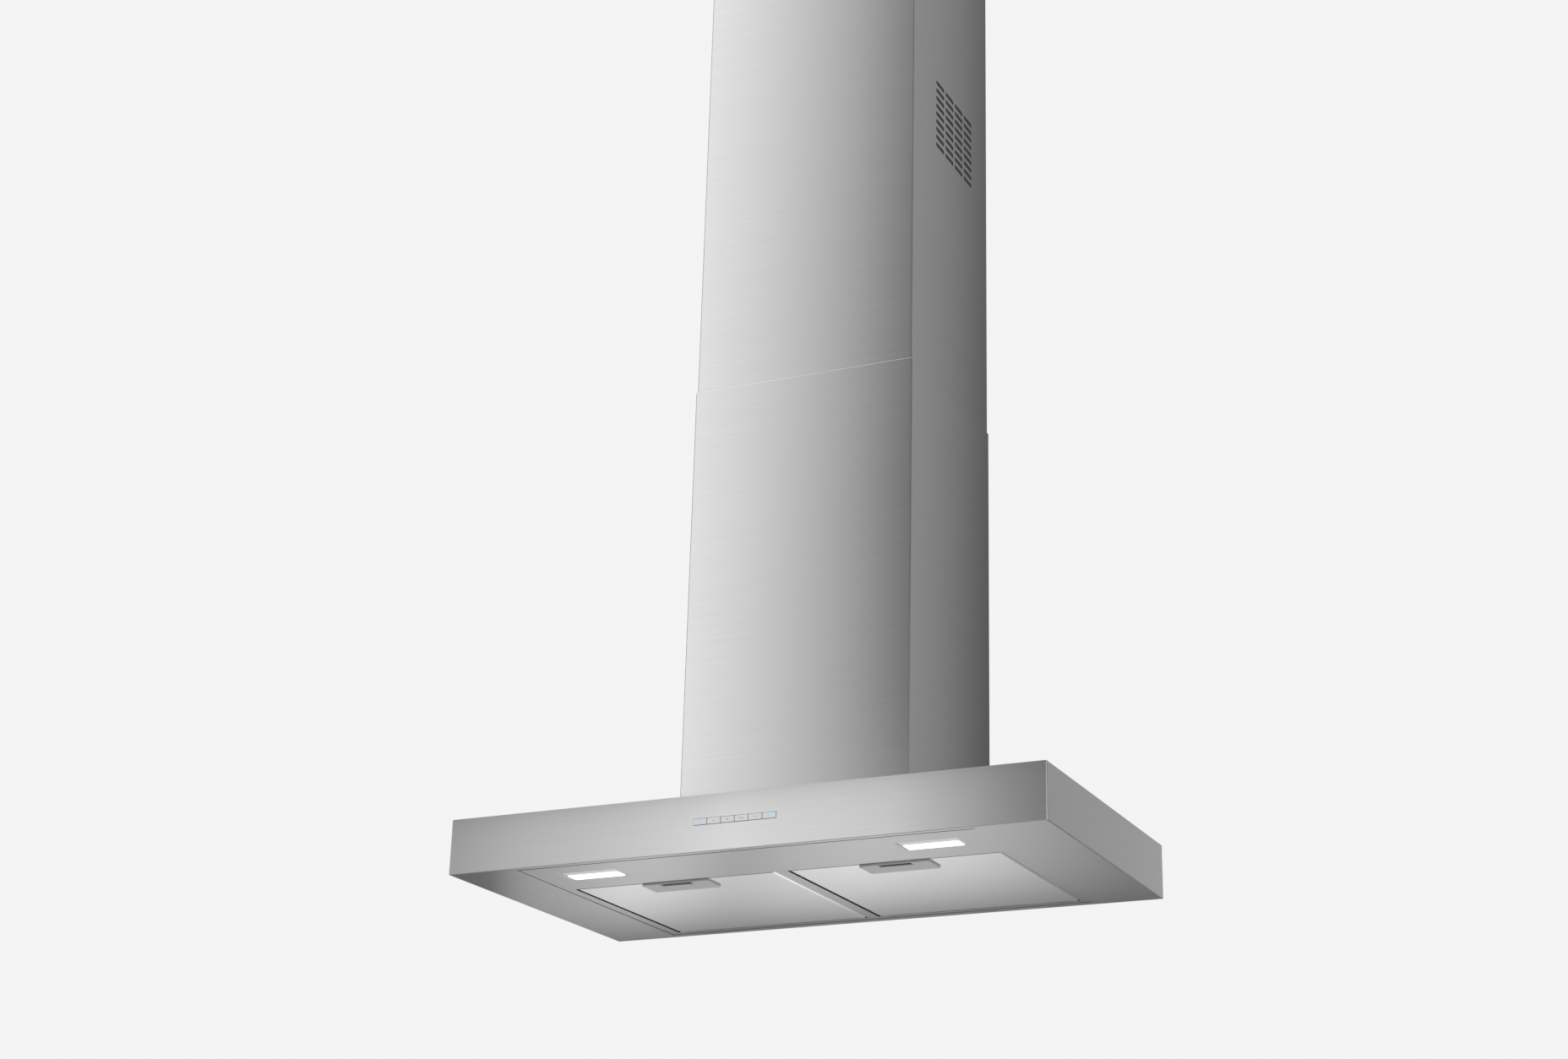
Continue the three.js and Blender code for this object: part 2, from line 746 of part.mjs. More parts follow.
function addMotor() {
  const left = -half(scroll.width);
  const right = -half(wheel.hubWidth) - motor.hubGap;
  const radius = intakeRadius - motor.wheelGap;
  const body = cut(
    cylinderX([left, right], fanY, fanZ, radius, 36),
    cylinderX([left + motor.bracketThickness, right + THROUGH], fanY, fanZ, motor.shaftRadius + SEAT, 24),
  );
  addPiece("motor", body, materials.motorSteel);

  const shaft = cylinderX(
    [left + motor.bracketThickness + SEAT, half(wheel.hubWidth)],
    fanY,
    fanZ,
    motor.shaftRadius,
    24,
  );
  addPiece("motor_shaft", shaft, materials.motorSteel);

  // A ring on the left intake with three arms and a boss behind the motor.
  const x = [left - SEAT - motor.bracketThickness, left - SEAT];
  const past = [x[0] - THROUGH, x[1] + THROUGH];
  const ringRadius = intakeRadius + motor.bracketWidth;
  const armLength = intakeRadius + half(motor.bracketWidth);
  const ring = cut(
    cylinderX(x, fanY, fanZ, ringRadius),
    cylinderX(past, fanY, fanZ, intakeRadius),
  );
  const arms = [0, 1, 2].map((i) => {
    const arm = new THREE.BoxGeometry(motor.bracketThickness, armLength, motor.bracketWidth);
    arm.translate(half(x[0] + x[1]), half(armLength), 0);
    arm.rotateX((i * 2 * Math.PI) / 3 + half(Math.PI));
    arm.translate(0, fanY, fanZ);
    return solid(arm);
  });
  const boss = cylinderX(x, fanY, fanZ, half(radius), 36);
  addPiece("motor_bracket", join(ring, boss, ...arms), materials.motorSteel);
}

function addOutletCollar() {
  const rim = collarFloor + collar.height;
  const inside = collar.radius - collar.wall;
  const tube = cylinderZ(0, collarY, [collarFloor, rim], collar.radius);
  const flange = cylinderZ(0, collarY, [collarFloor, collarFloor + 2 * SHEET], collarReach);
  const bead = cylinderZ(0, collarY, [rim - 2 * collar.bead, rim], collar.radius + collar.bead);
  const bore = cylinderZ(0, collarY, [collarFloor - THROUGH, rim + THROUGH], inside);
  const ledgeTop = flapZ - half(flap.thickness) - SEAT;
  const ledgeZ = [ledgeTop - collar.ledgeThickness, ledgeTop];
  const ledge = cut(
    cylinderZ(0, collarY, ledgeZ, inside + half(collar.wall)),
    cylinderZ(0, collarY, [ledgeZ[0] - THROUGH, ledgeZ[1] + THROUGH], inside - collar.ledge),
  );
  const pinEnd = inside - SEAT;
  const pinX = [-pinEnd, pinEnd];
  const pinSeat = cylinderX(pinX, collarY, flapZ, flap.pinRadius + SEAT, 16);
  const body = join(cut(join(tube, flange, bead), bore), cut(ledge, pinSeat));
  addPiece("outlet_collar", body, materials.flapPlastic);
  addPiece("flap_pin", cylinderX(pinX, collarY, flapZ, flap.pinRadius, 16), materials.motorSteel);
  addFlap("flap_front", -1, inside);
  addFlap("flap_rear", 1, inside);
}

// Half a disc that rests on the collar's ledge and swings up round the pin.
function addFlap(name, sign, inside) {
  const radius = inside - flap.rimClearance;
  const z = centred(flapZ, flap.thickness);
  const nearY = mirrored([flap.hingeInset, radius + THROUGH], sign);
  const keepY = [collarY + nearY[0], collarY + nearY[1]];
  const keep = block(centred(0, 2 * (radius + THROUGH)), keepY, [z[0] - THROUGH, z[1] + THROUGH]);
  const plate = cylinderZ(0, collarY, z, radius).intersect(keep);
  addPiece(name, plate, materials.flapPlastic);
}

// ---------------------------------------------------------------- electrics on the fan chamber

function addCapacitor() {
  const z = [chamberTop + SEAT, chamberTop + SEAT + capacitor.height];
  const x = collarReach + capacitor.collarGap + capacitor.radius;
  const can = cylinderZ(x, -capacitor.fromWall, z, capacitor.radius, 24);
  addPiece("capacitor", can, materials.aluminiumMesh);
}

function addTerminalBox() {
  const middle = -(collarReach + terminal.collarGap + half(terminal.width));
  const x = centred(middle, terminal.width);
  const y = centred(-terminal.fromWall, terminal.depth);
  const z = [chamberTop + SEAT, chamberTop + SEAT + terminal.height];
  const wall = terminal.wall;
  const box = cut(
    block(x, y, z),
    block([x[0] + wall, x[1] - wall], [y[0] + wall, y[1] - wall], [z[0] + wall, z[1] + THROUGH]),
  );
  addPiece("terminal_box", box, materials.darkPlastic);

  const coverZ = [z[1] + SEAT, z[1] + SEAT + wall];
  const glandY = -terminal.fromWall;
  const boreZ = [z[1] - THROUGH, coverZ[1] + SEAT + gland.height + THROUGH];
  const bore = cylinderZ(middle, glandY, boreZ, gland.boreRadius, 16);
  addPiece("terminal_cover", cut(block(x, y, coverZ), bore), materials.darkPlastic);

  const glandZ = [coverZ[1] + SEAT, coverZ[1] + SEAT + gland.height];
  const nut = cylinderZ(middle, glandY, glandZ, gland.radius, 6);
  addPiece("cable_gland", cut(nut, bore), materials.darkPlastic);
}

// ---------------------------------------------------------------- assembly

addCanopyShell();
addBackPlate();
addLampStrip();
addFilterSupport();
SIDES.forEach(addLamp);
SIDES.forEach(addFilter);
addButtons();
addLampDriver();
addLowerChimney();
addUpperChimney();
SIDES.forEach(addChimneyFoot);
addChimneyBracket();
addFanChamber();
addScroll();
addImpeller();
addMotor();
addOutletCollar();
addCapacitor();
addTerminalBox();

export default hood;
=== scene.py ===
"""Looks of a wall-mounted chimney range hood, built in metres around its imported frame.

Each sub-assembly is a class that takes its places from the frame's nodes, builds finer meshes
for the pieces that show and dresses them in procedural finishes.
"""
import json
import logging
import math
from collections.abc import Callable, Sequence
from dataclasses import dataclass
from enum import Enum
from typing import Any

import bmesh
import bpy
from mathutils import Matrix, Vector
from mathutils.geometry import tessellate_polygon


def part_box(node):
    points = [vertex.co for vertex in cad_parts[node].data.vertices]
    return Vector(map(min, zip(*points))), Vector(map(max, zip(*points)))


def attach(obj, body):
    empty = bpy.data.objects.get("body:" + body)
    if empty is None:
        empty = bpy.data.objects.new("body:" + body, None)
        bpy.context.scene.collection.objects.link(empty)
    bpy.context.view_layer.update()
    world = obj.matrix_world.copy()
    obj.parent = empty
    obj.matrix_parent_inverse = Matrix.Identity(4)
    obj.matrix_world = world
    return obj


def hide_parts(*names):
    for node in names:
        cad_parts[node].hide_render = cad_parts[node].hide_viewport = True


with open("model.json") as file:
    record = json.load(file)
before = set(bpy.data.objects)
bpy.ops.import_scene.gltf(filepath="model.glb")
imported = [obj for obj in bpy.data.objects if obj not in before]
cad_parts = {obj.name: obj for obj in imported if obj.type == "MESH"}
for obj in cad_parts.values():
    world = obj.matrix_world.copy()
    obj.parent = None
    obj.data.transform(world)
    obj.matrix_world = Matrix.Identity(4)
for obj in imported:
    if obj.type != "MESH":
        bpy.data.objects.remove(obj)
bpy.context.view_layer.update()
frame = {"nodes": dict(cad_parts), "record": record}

LOG = logging.getLogger("hood")
MM = 0.001
PHOTO_WIDTH_PX = 1856
# Points closer than WELD are merged, and closer than TOUCHING they count as one place.
WELD = 0.001 * MM
TOUCHING = 0.01 * MM
CROWN_STEPS = 4
# A wave texture of this scale repeats about once a metre.
WAVE_SCALE = 0.3
UPWARDS = Vector((0, 0, 1))
BODY_OF: dict[str, str] = {
    node: body for body, nodes in frame["record"]["behaviour"]["bodies"].items() for node in nodes
}

Limits = tuple[float, float]
Outline = list[tuple[float, float]]
Colour = tuple[float, float, float]
Tones = tuple[tuple[float, float], ...]


# ---------------------------------------------------------------- choices


class Slot(Enum):
    """Material slots of the record that the finishes belong to."""

    BRUSHED_STEEL = "brushed_steel"
    FILTER_STEEL = "filter_steel"
    ALUMINIUM_MESH = "aluminium_mesh"
    GALVANISED = "galvanised"
    LATCH_GREY = "latch_grey"
    DARK_PLASTIC = "dark_plastic"
    BUTTON_PLASTIC = "button_plastic"
    LAMP_DIFFUSER = "lamp_diffuser"
    CIRCUIT_BOARD = "circuit_board"
    FAN_PLASTIC = "fan_plastic"
    MOTOR_STEEL = "motor_steel"
    FLAP_PLASTIC = "flap_plastic"


class Side(Enum):
    """Left and right of the hood, as seen from the room."""

    LEFT = -1
    RIGHT = 1

    @property
    def suffix(self) -> str:
        """The word that ends the names of this side's nodes."""
        return self.name.lower()


class Plane(Enum):
    """The plane that a flat outline is drawn in; its last axis is the plate's thickness."""

    FLOOR = (0, 1, 2)
    FRONT = (0, 2, 1)
    SIDE = (1, 2, 0)

    def point(self, u: float, v: float, w: float) -> Vector:
        """Place a drawn point in space.

        Args:
            u: distance along the plane's first axis.
            v: distance along the plane's second axis.
            w: height along the thickness axis.

        Returns:
            The point in the row frame.
        """
        place = [0.0, 0.0, 0.0]
        for axis, value in zip(self.value, (u, v, w)):
            place[axis] = value
        return Vector(place)


@dataclass(frozen=True)
class Span:
    """The box of a CAD node at rest."""

    low: Vector
    high: Vector

    @classmethod
    def of(cls, node: str) -> "Span":
        """Read the box of a node from the frame."""
        return cls(*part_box(node))

    @property
    def x(self) -> Limits:
        """Limits along the wall."""
        return self.low.x, self.high.x

    @property
    def y(self) -> Limits:
        """Limits from the room to the wall."""
        return self.low.y, self.high.y

    @property
    def z(self) -> Limits:
        """Limits in height."""
        return self.low.z, self.high.z

    @property
    def centre(self) -> Vector:
        """Middle of the box."""
        return (self.low + self.high) / 2

    @property
    def foot(self) -> Vector:
        """Middle of the box's floor."""
        return Vector((self.centre.x, self.centre.y, self.low.z))


def middle(limits: Limits) -> float:
    """Half way between two limits."""
    return (limits[0] + limits[1]) / 2


def centred(centre: float, size: float) -> Limits:
    """Limits of a size about a centre."""
    return centre - size / 2, centre + size / 2


def inset(limits: Limits, amount: float) -> Limits:
    """Limits drawn in by the same amount at both ends."""
    return limits[0] + amount, limits[1] - amount


# ---------------------------------------------------------------- outlines


def arc(
    centre: tuple[float, float], radius: float, start: float, end: float, steps: int
) -> Outline:
    """Points on a circular arc.

    Args:
        centre: the circle's centre in the drawing plane.
        radius: the circle's radius.
        start: first angle in degrees.
        end: last angle in degrees.
        steps: number of equal steps between the two.

    Returns:
        The points, both ends included.
    """
    points = []
    for i in range(steps + 1):
        angle = math.radians(start + (end - start) * i / steps)
        across, up = radius * math.cos(angle), radius * math.sin(angle)
        points.append((centre[0] + across, centre[1] + up))
    return points


def rounded_rectangle(u: Limits, v: Limits, radius: float, steps: int = 5) -> Outline:
    """A rectangle with round corners.

    Args:
        u: limits along the drawing's first axis.
        v: limits along its second axis.
        radius: radius of the corners.
        steps: steps in each corner.

    Returns:
        The outline, anticlockwise.
    """
    u0, u1 = inset(u, radius)
    v0, v1 = inset(v, radius)
    corners = [((u1, v0), -90), ((u1, v1), 0), ((u0, v1), 90), ((u0, v0), 180)]
    outline: Outline = []
    for centre, start in corners:
        outline += arc(centre, radius, start, start + 90, steps)
    return outline


def slot_outline(
    centre: tuple[float, float], length: float, height: float, steps: int = 6
) -> Outline:
    """A slot with round ends.

    Args:
        centre: middle of the slot.
        length: overall length along the drawing's first axis.
        height: overall height.
        steps: steps in each round end.

    Returns:
        The outline, anticlockwise.
    """
    reach = (length - height) / 2
    right = arc((centre[0] + reach, centre[1]), height / 2, -90, 90, steps)
    left = arc((centre[0] - reach, centre[1]), height / 2, 90, 270, steps)
    return right + left


def crowned(
    u: Limits, v: Limits, corner: float, depth: Limits, rise: float, draw: float
) -> list[tuple[Outline, float]]:
    """Sections of a plate with round corners whose face at the lower limit is crowned.

    Args:
        u: limits along the drawing's first axis.
        v: limits along its second axis.
        corner: radius of the corners.
        depth: limits of the thickness.
        rise: height of the crown.
        draw: how far the outline is drawn in at the top of the crown.

    Returns:
        The sections from the back to the crown, each with its height.
    """
    sections = [(rounded_rectangle(u, v, corner), depth[1])]
    for i in range(CROWN_STEPS + 1):
        angle = math.radians(90 * i / CROWN_STEPS)
        draw_in = draw * (1 - math.cos(angle))
        outline = rounded_rectangle(inset(u, draw_in), inset(v, draw_in), corner)
        sections.append((outline, depth[0] + rise * (1 - math.sin(angle))))
    return sections


# ---------------------------------------------------------------- meshes


class Draft:
    """A mesh in the making, in metres in the row frame."""

    def __init__(self) -> None:
        """Start with an empty mesh."""
        self.bm = bmesh.new()

    @classmethod
    def of_node(cls, node: str) -> "Draft":
        """Start from a CAD node's faces, with its flat faces made whole.

        Args:
            node: name of the node whose mesh is copied.

        Returns:
            The draft.
        """
        draft = cls()
        draft.bm.from_mesh(frame["nodes"][node].data)
        bmesh.ops.remove_doubles(draft.bm, verts=draft.bm.verts, dist=2 * WELD)
        draft.flatten()
        return draft

    def flatten(self) -> None:
        """Join the triangles of each flat face into one face where that can be done."""
        bmesh.ops.dissolve_limit(
            self.bm, angle_limit=math.radians(0.5), verts=self.bm.verts, edges=self.bm.edges
        )

    def ring(self, points: Sequence[Vector]) -> list[bmesh.types.BMVert]:
        """Add points and return their vertices."""
        return [self.bm.verts.new(point) for point in points]

    def strip(
        self, first: Sequence[bmesh.types.BMVert], second: Sequence[bmesh.types.BMVert]
    ) -> None:
        """Close the band between two rings of as many vertices."""
        count = len(first)
        for i in range(count):
            j = (i + 1) % count
            self.bm.faces.new((first[i], first[j], second[j], second[i]))

    def open_between(self, x: float) -> None:
        """Join what meets in a plane across the hood and take out the walls between."""
        bmesh.ops.remove_doubles(self.bm, verts=self.bm.verts, dist=WELD)
        walls = [
            face
            for face in self.bm.faces
            if all(abs(vertex.co.x - x) < TOUCHING for vertex in face.verts)
        ]
        bmesh.ops.delete(self.bm, geom=walls, context="FACES")

    def block(self, x: Limits, y: Limits, z: Limits) -> None:
        """Add a block between limits on each axis."""
        corners = [(x[0], y[0]), (x[1], y[0]), (x[1], y[1]), (x[0], y[1])]
        self.plate(Plane.FLOOR, corners, z)

    def plate(
        self, plane: Plane, outline: Outline, depth: Limits, holes: Sequence[Outline] = ()
    ) -> None:
        """Add a flat plate with holes.

        Args:
            plane: plane of the drawing.
            outline: the plate's outer edge.
            depth: limits of its thickness.
            holes: outlines of the holes.
        """
        loops = [outline, *holes]
        triangles = tessellate_polygon([[Vector((u, v, 0)) for u, v in loop] for loop in loops])
        rings = []
        for w in depth:
            rings.append([self.ring([plane.point(u, v, w) for u, v in loop]) for loop in loops])
        for sheet in rings:
            flat = [vertex for loop in sheet for vertex in loop]
            for a, b, c in triangles:
                self.bm.faces.new((flat[a], flat[b], flat[c]))
        for near, far in zip(*rings):
            self.strip(near, far)

    def loft(self, plane: Plane, sections: Sequence[tuple[Outline, float]]) -> None:
        """Add a closed solid through outlines of as many points at rising heights.

        Args:
            plane: plane of the drawings.
            sections: each outline with its height along the plane's thickness axis.
        """
        rings = [self.ring([plane.point(u, v, w) for u, v in outline]) for outline, w in sections]
        for lower, upper in zip(rings, rings[1:]):
            self.strip(lower, upper)
        self.bm.faces.new(rings[0])
        self.bm.faces.new(rings[-1])

    def lathe(self, profile: Outline, origin: Vector, axis: Vector, steps: int) -> None:
        """Turn a profile round an axis.

        Args:
            profile: points as (radius, height); radii of zero lie on the axis. A profile that
                starts and ends on the axis, or returns to its first point, makes a solid.
            origin: point on the axis at height zero.
            axis: direction of rising height.
            steps: steps round the axis.
        """
        turn = UPWARDS.rotation_difference(axis).to_matrix()
        rings = []
        for radius, height in profile:
            if radius <= 0:
                rings.append([self.bm.verts.new(origin + turn @ Vector((0, 0, height)))])
                continue
            angles = [2 * math.pi * i / steps for i in range(steps)]
            points = [Vector((radius * math.cos(a), radius * math.sin(a), height)) for a in angles]
            rings.append(self.ring([origin + turn @ point for point in points]))
        for lower, upper in zip(rings, rings[1:]):
            self.cap_or_strip(lower, upper)

    def cap_or_strip(
        self, lower: list[bmesh.types.BMVert], upper: list[bmesh.types.BMVert]
    ) -> None:
        """Join two lathe rings, of which one may be a point on the axis."""
        if len(lower) > 1 and len(upper) > 1:
            self.strip(lower, upper)
            return
        point, ring = (lower[0], upper) if len(lower) == 1 else (upper[0], lower)
        for i, vertex in enumerate(ring):
            self.bm.faces.new((point, vertex, ring[(i + 1) % len(ring)]))

    def finish(
        self,
        name: str,
        bends: Callable[[Vector, Vector], float] | None = None,
        bevel: float = 0.0,
        segments: int = 3,
        sharp_angle: float = 30.0,
    ) -> bpy.types.Object:
        """Turn the draft into a piece with rounded edges, smooth bends and coordinates for grain.

        Args:
            name: name of the piece.
            bends: radius of the edge between two end points, or None for the same bevel all over.
            bevel: width of the bevel where bends is None; zero leaves the edges as they are.
            segments: steps in each rounded edge.
            sharp_angle: edges sharper than this, in degrees, get rounded or stay sharp.

        Returns:
            The piece, linked to the scene.
        """
        bm = self.bm
        bmesh.ops.remove_doubles(bm, verts=bm.verts, dist=WELD)
        bmesh.ops.recalc_face_normals(bm, faces=bm.faces)
        widest = weigh_edges(bm, bends, bevel, math.radians(sharp_angle))
        for face in bm.faces:
            face.smooth = True
        mesh = bpy.data.meshes.new(name)
        bm.to_mesh(mesh)
        bm.free()
        piece = bpy.data.objects.new(name, mesh)
        bpy.context.scene.collection.objects.link(piece)
        if widest > 0:
            rounding = piece.modifiers.new("rounding", "BEVEL")
            rounding.limit_method = "WEIGHT"
            rounding.width = widest
            rounding.segments = segments
            rounding.miter_outer = "MITER_SHARP"
            bake_modifiers(piece)
            sharp_angle = max(sharp_angle, 60.0)
        piece.data.set_sharp_from_angle(angle=math.radians(sharp_angle))
        shading = piece.modifiers.new("shading", "WEIGHTED_NORMAL")
        shading.keep_sharp = True
        shading.weight = 100
        bake_modifiers(piece)
        add_grain_coordinates(piece.data)
        return piece


def weigh_edges(
    bm: bmesh.types.BMesh,
    bends: Callable[[Vector, Vector], float] | None,
    bevel: float,
    sharp_angle: float,
) -> float:
    """Give each sharp edge its share of the widest bevel.

    Args:
        bm: the mesh.
        bends: radius of the edge between two end points, or None for the same bevel all over.
        bevel: width of the bevel where bends is None.
        sharp_angle: angle above which an edge is rounded, in radians.

    Returns:
        The widest bevel in metres.
    """
    layer = bm.edges.layers.float.new("bevel_weight_edge")
    widest = 0.0
    for edge in bm.edges:
        if len(edge.link_faces) == 2 and edge.calc_face_angle(0) > sharp_angle:
            start, end = (vertex.co for vertex in edge.verts)
            edge[layer] = bevel if bends is None else bends(start, end)
            widest = max(widest, edge[layer])
    if widest > 0:
        for edge in bm.edges:
            edge[layer] /= widest
    return widest


def bake_modifiers(piece: bpy.types.Object) -> None:
    """Apply a piece's modifiers to its mesh."""
    graph = bpy.context.evaluated_depsgraph_get()
    baked = bpy.data.meshes.new_from_object(
        piece.evaluated_get(graph), preserve_all_data_layers=True, depsgraph=graph
    )
    drafted = piece.data
    piece.modifiers.clear()
    piece.data = baked
    bpy.data.meshes.remove(drafted)
    baked.name = piece.name


def add_grain_coordinates(mesh: bpy.types.Mesh) -> None:
    """Add a UV map in metres whose U runs level along each face, as the brush lines do."""
    layer = mesh.uv_layers.new(name="grain")
    for polygon in mesh.polygons:
        x, y, z = (abs(value) for value in polygon.normal)
        for loop in polygon.loop_indices:
            place = mesh.vertices[mesh.loops[loop].vertex_index].co
            if z >= max(x, y):
                layer.data[loop].uv = (place.x, place.y)
            elif y >= x:
                layer.data[loop].uv = (place.x, place.z)
            else:
                layer.data[loop].uv = (place.y, place.z)


# ---------------------------------------------------------------- finishes


class Recipe:
    """A node tree with short ways to add to it."""

    def __init__(self, tree: bpy.types.NodeTree) -> None:
        """Start from an empty tree."""
        self.tree = tree
        tree.nodes.clear()

    def feed(self, value: Any, node: bpy.types.Node, key: str | int) -> None:
        """Link a socket to one of a node's inputs."""
        self.tree.links.new(value, node.inputs[key])

    def add(
        self, kind: str, inputs: dict[str | int, Any] | None = None, **settings: Any
    ) -> bpy.types.Node:
        """Add a node.

        Args:
            kind: the node's Blender type.
            inputs: values or sockets for its inputs, by name or number.
            **settings: the node's own properties.

        Returns:
            The node.
        """
        node = self.tree.nodes.new(kind)
        for key, value in settings.items():
            setattr(node, key, value)
        for key, value in (inputs or {}).items():
            if isinstance(value, bpy.types.NodeSocket):
                self.feed(value, node, key)
            else:
                node.inputs[key].default_value = value
        return node

    def math(self, operation: str, first: Any, second: Any) -> Any:
        """Work out one number from two values or sockets."""
        inputs = {0: first, 1: second}
        return self.add("ShaderNodeMath", inputs, operation=operation).outputs[0]

    def ramp(self, value: Any, source: Limits, target: Limits, smooth: bool = False) -> Any:
        """Map a value from one range to another, held at both ends."""
        kind = "SMOOTHSTEP" if smooth else "LINEAR"
        inputs = {
            "Value": value,
            "From Min": source[0],
            "From Max": source[1],
            "To Min": target[0],
            "To Max": target[1],
        }
        return self.add("ShaderNodeMapRange", inputs, interpolation_type=kind).outputs["Result"]

    def mix(self, share: Any, first: Any, second: Any) -> Any:
        """Mix two colours, given as sockets or as triples."""
        node = self.add("ShaderNodeMix", {0: share}, data_type="RGBA")
        for number, value in ((6, first), (7, second)):
            if isinstance(value, bpy.types.NodeSocket):
                self.feed(value, node, number)
            else:
                node.inputs[number].default_value = (*value, 1.0)
        return node.outputs[2]

    def blend(self, share: Any, first: Any, second: Any) -> Any:
        """Mix two numbers, given as values or sockets."""
        inputs = {0: share, 2: first, 3: second}
        return self.add("ShaderNodeMix", inputs, data_type="FLOAT").outputs[0]

    def grades(self, value: Any, stops: Sequence[tuple[float, float]]) -> Any:
        """Read a grey level off a ramp.

        Args:
            value: socket that runs from 0 to 1.
            stops: places on the ramp with their grey levels, up to 1.

        Returns:
            The socket of the level.
        """
        ramp = self.add("ShaderNodeValToRGB", {0: value})
        steps = ramp.color_ramp.elements
        ordered = sorted(stops)
        steps[0].position, steps[1].position = ordered[0][0], ordered[-1][0]
        for step, level in ((steps[0], ordered[0][1]), (steps[1], ordered[-1][1])):
            step.color = (level, level, level, 1)
        for place, level in ordered[1:-1]:
            steps.new(place).color = (level, level, level, 1)
        return ramp.outputs["Color"]

    def noise(
        self, vector: Any, scale: float, detail: float = 2.0, roughness: float = 0.5
    ) -> Any:
        """Add noise and return its value socket."""
        inputs = {"Vector": vector, "Scale": scale, "Detail": detail, "Roughness": roughness}
        return self.add("ShaderNodeTexNoise", inputs).outputs["Fac"]

    def stretched(self, vector: Any, scale: tuple[float, float, float], turn: float = 0.0) -> Any:
        """Scale coordinates by axis, after a turn about the third axis in degrees."""
        inputs = {"Vector": vector, "Scale": scale, "Rotation": (0, 0, math.radians(turn))}
        return self.add("ShaderNodeMapping", inputs).outputs["Vector"]

    def coordinates(self, name: str) -> Any:
        """One of the texture coordinates: UV for the grain or Object for metres."""
        return self.add("ShaderNodeTexCoord").outputs[name]

    def bump(self, height: Any, distance: float, strength: float = 1.0) -> Any:
        """Turn a height into a normal."""
        inputs = {"Height": height, "Distance": distance, "Strength": strength}
        return self.add("ShaderNodeBump", inputs).outputs["Normal"]


@dataclass(frozen=True)
class Finish:
    """A surface with one base colour; subclasses add what their surface shows."""

    colour: Colour
    roughness: float
    metallic: float = 0.0

    def material(self, name: str) -> bpy.types.Material:
        """Build the material.

        Args:
            name: the material's name.

        Returns:
            The material, with its node tree.
        """
        material = bpy.data.materials.new(name)
        material.use_nodes = True
        material.diffuse_color = (*self.colour, 1.0)
        recipe = Recipe(material.node_tree)
        shader = recipe.add("ShaderNodeBsdfPrincipled")
        shader.inputs["Base Color"].default_value = (*self.colour, 1.0)
        shader.inputs["Roughness"].default_value = self.roughness
        shader.inputs["Metallic"].default_value = self.metallic
        self.detail(recipe, shader)
        recipe.add("ShaderNodeOutputMaterial", {"Surface": shader.outputs[0]})
        return material

    def detail(self, recipe: Recipe, shader: bpy.types.Node) -> None:
        """Add what the surface shows beyond its colour."""

    def shade(self, amount: float) -> Colour:
        """The base colour made darker or lighter by a factor."""
        return tuple(min(1.0, channel * amount) for channel in self.colour)


@dataclass(frozen=True)
class BrushedSteel(Finish):
    """Stainless sheet with brush lines along the grain map's U."""

    metallic: float = 1.0
    anisotropy: float = 0.75
    line_scale: tuple[float, float] = (5.0, 1400.0)
    streak_scale: tuple[float, float] = (2.4, 520.0)
    colour_play: float = 0.05
    roughness_play: float = 0.02
    line_depth: float = 0.004 * MM
    line_share: float = 0.25
    cloud_scale: float = 3.0
    cloud_share: float = 0.3

    def detail(self, recipe: Recipe, shader: bpy.types.Node) -> None:
        """Fine lines in the normal, broader streaks in colour and roughness."""
        grain = recipe.coordinates("UV")
        lines = recipe.noise(recipe.stretched(grain, (*self.line_scale, 1.0)), 1.0, 3.0, 0.6)
        streaks = recipe.noise(recipe.stretched(grain, (*self.streak_scale, 1.0)), 1.0, 4.0, 0.65)
        cloud = recipe.noise(recipe.coordinates("Object"), self.cloud_scale)
        tone = recipe.math("MULTIPLY_ADD", streaks, 1 - self.line_share)
        recipe.feed(recipe.math("MULTIPLY", lines, self.line_share), tone.node, 2)
        share = recipe.ramp(tone, (0.3, 0.7), (0.0, 1.0))
        darker, lighter = self.shade(1 - self.colour_play), self.shade(1 + self.colour_play)
        recipe.feed(recipe.mix(share, darker, lighter), shader, "Base Color")
        fine = recipe.math("MULTIPLY", streaks, 1 - self.cloud_share)
        level = recipe.math("ADD", fine, recipe.math("MULTIPLY", cloud, self.cloud_share))
        spread = (self.roughness - self.roughness_play, self.roughness + self.roughness_play)
        recipe.feed(recipe.ramp(level, (0.35, 0.65), spread), shader, "Roughness")
        shader.inputs["Anisotropic"].default_value = self.anisotropy
        shader.inputs["Anisotropic Rotation"].default_value = 0.25
        tangent = recipe.add("ShaderNodeTangent", direction_type="UV_MAP", uv_map="grain")
        recipe.feed(tangent.outputs["Tangent"], shader, "Tangent")
        recipe.feed(recipe.bump(lines, self.line_depth), shader, "Normal")


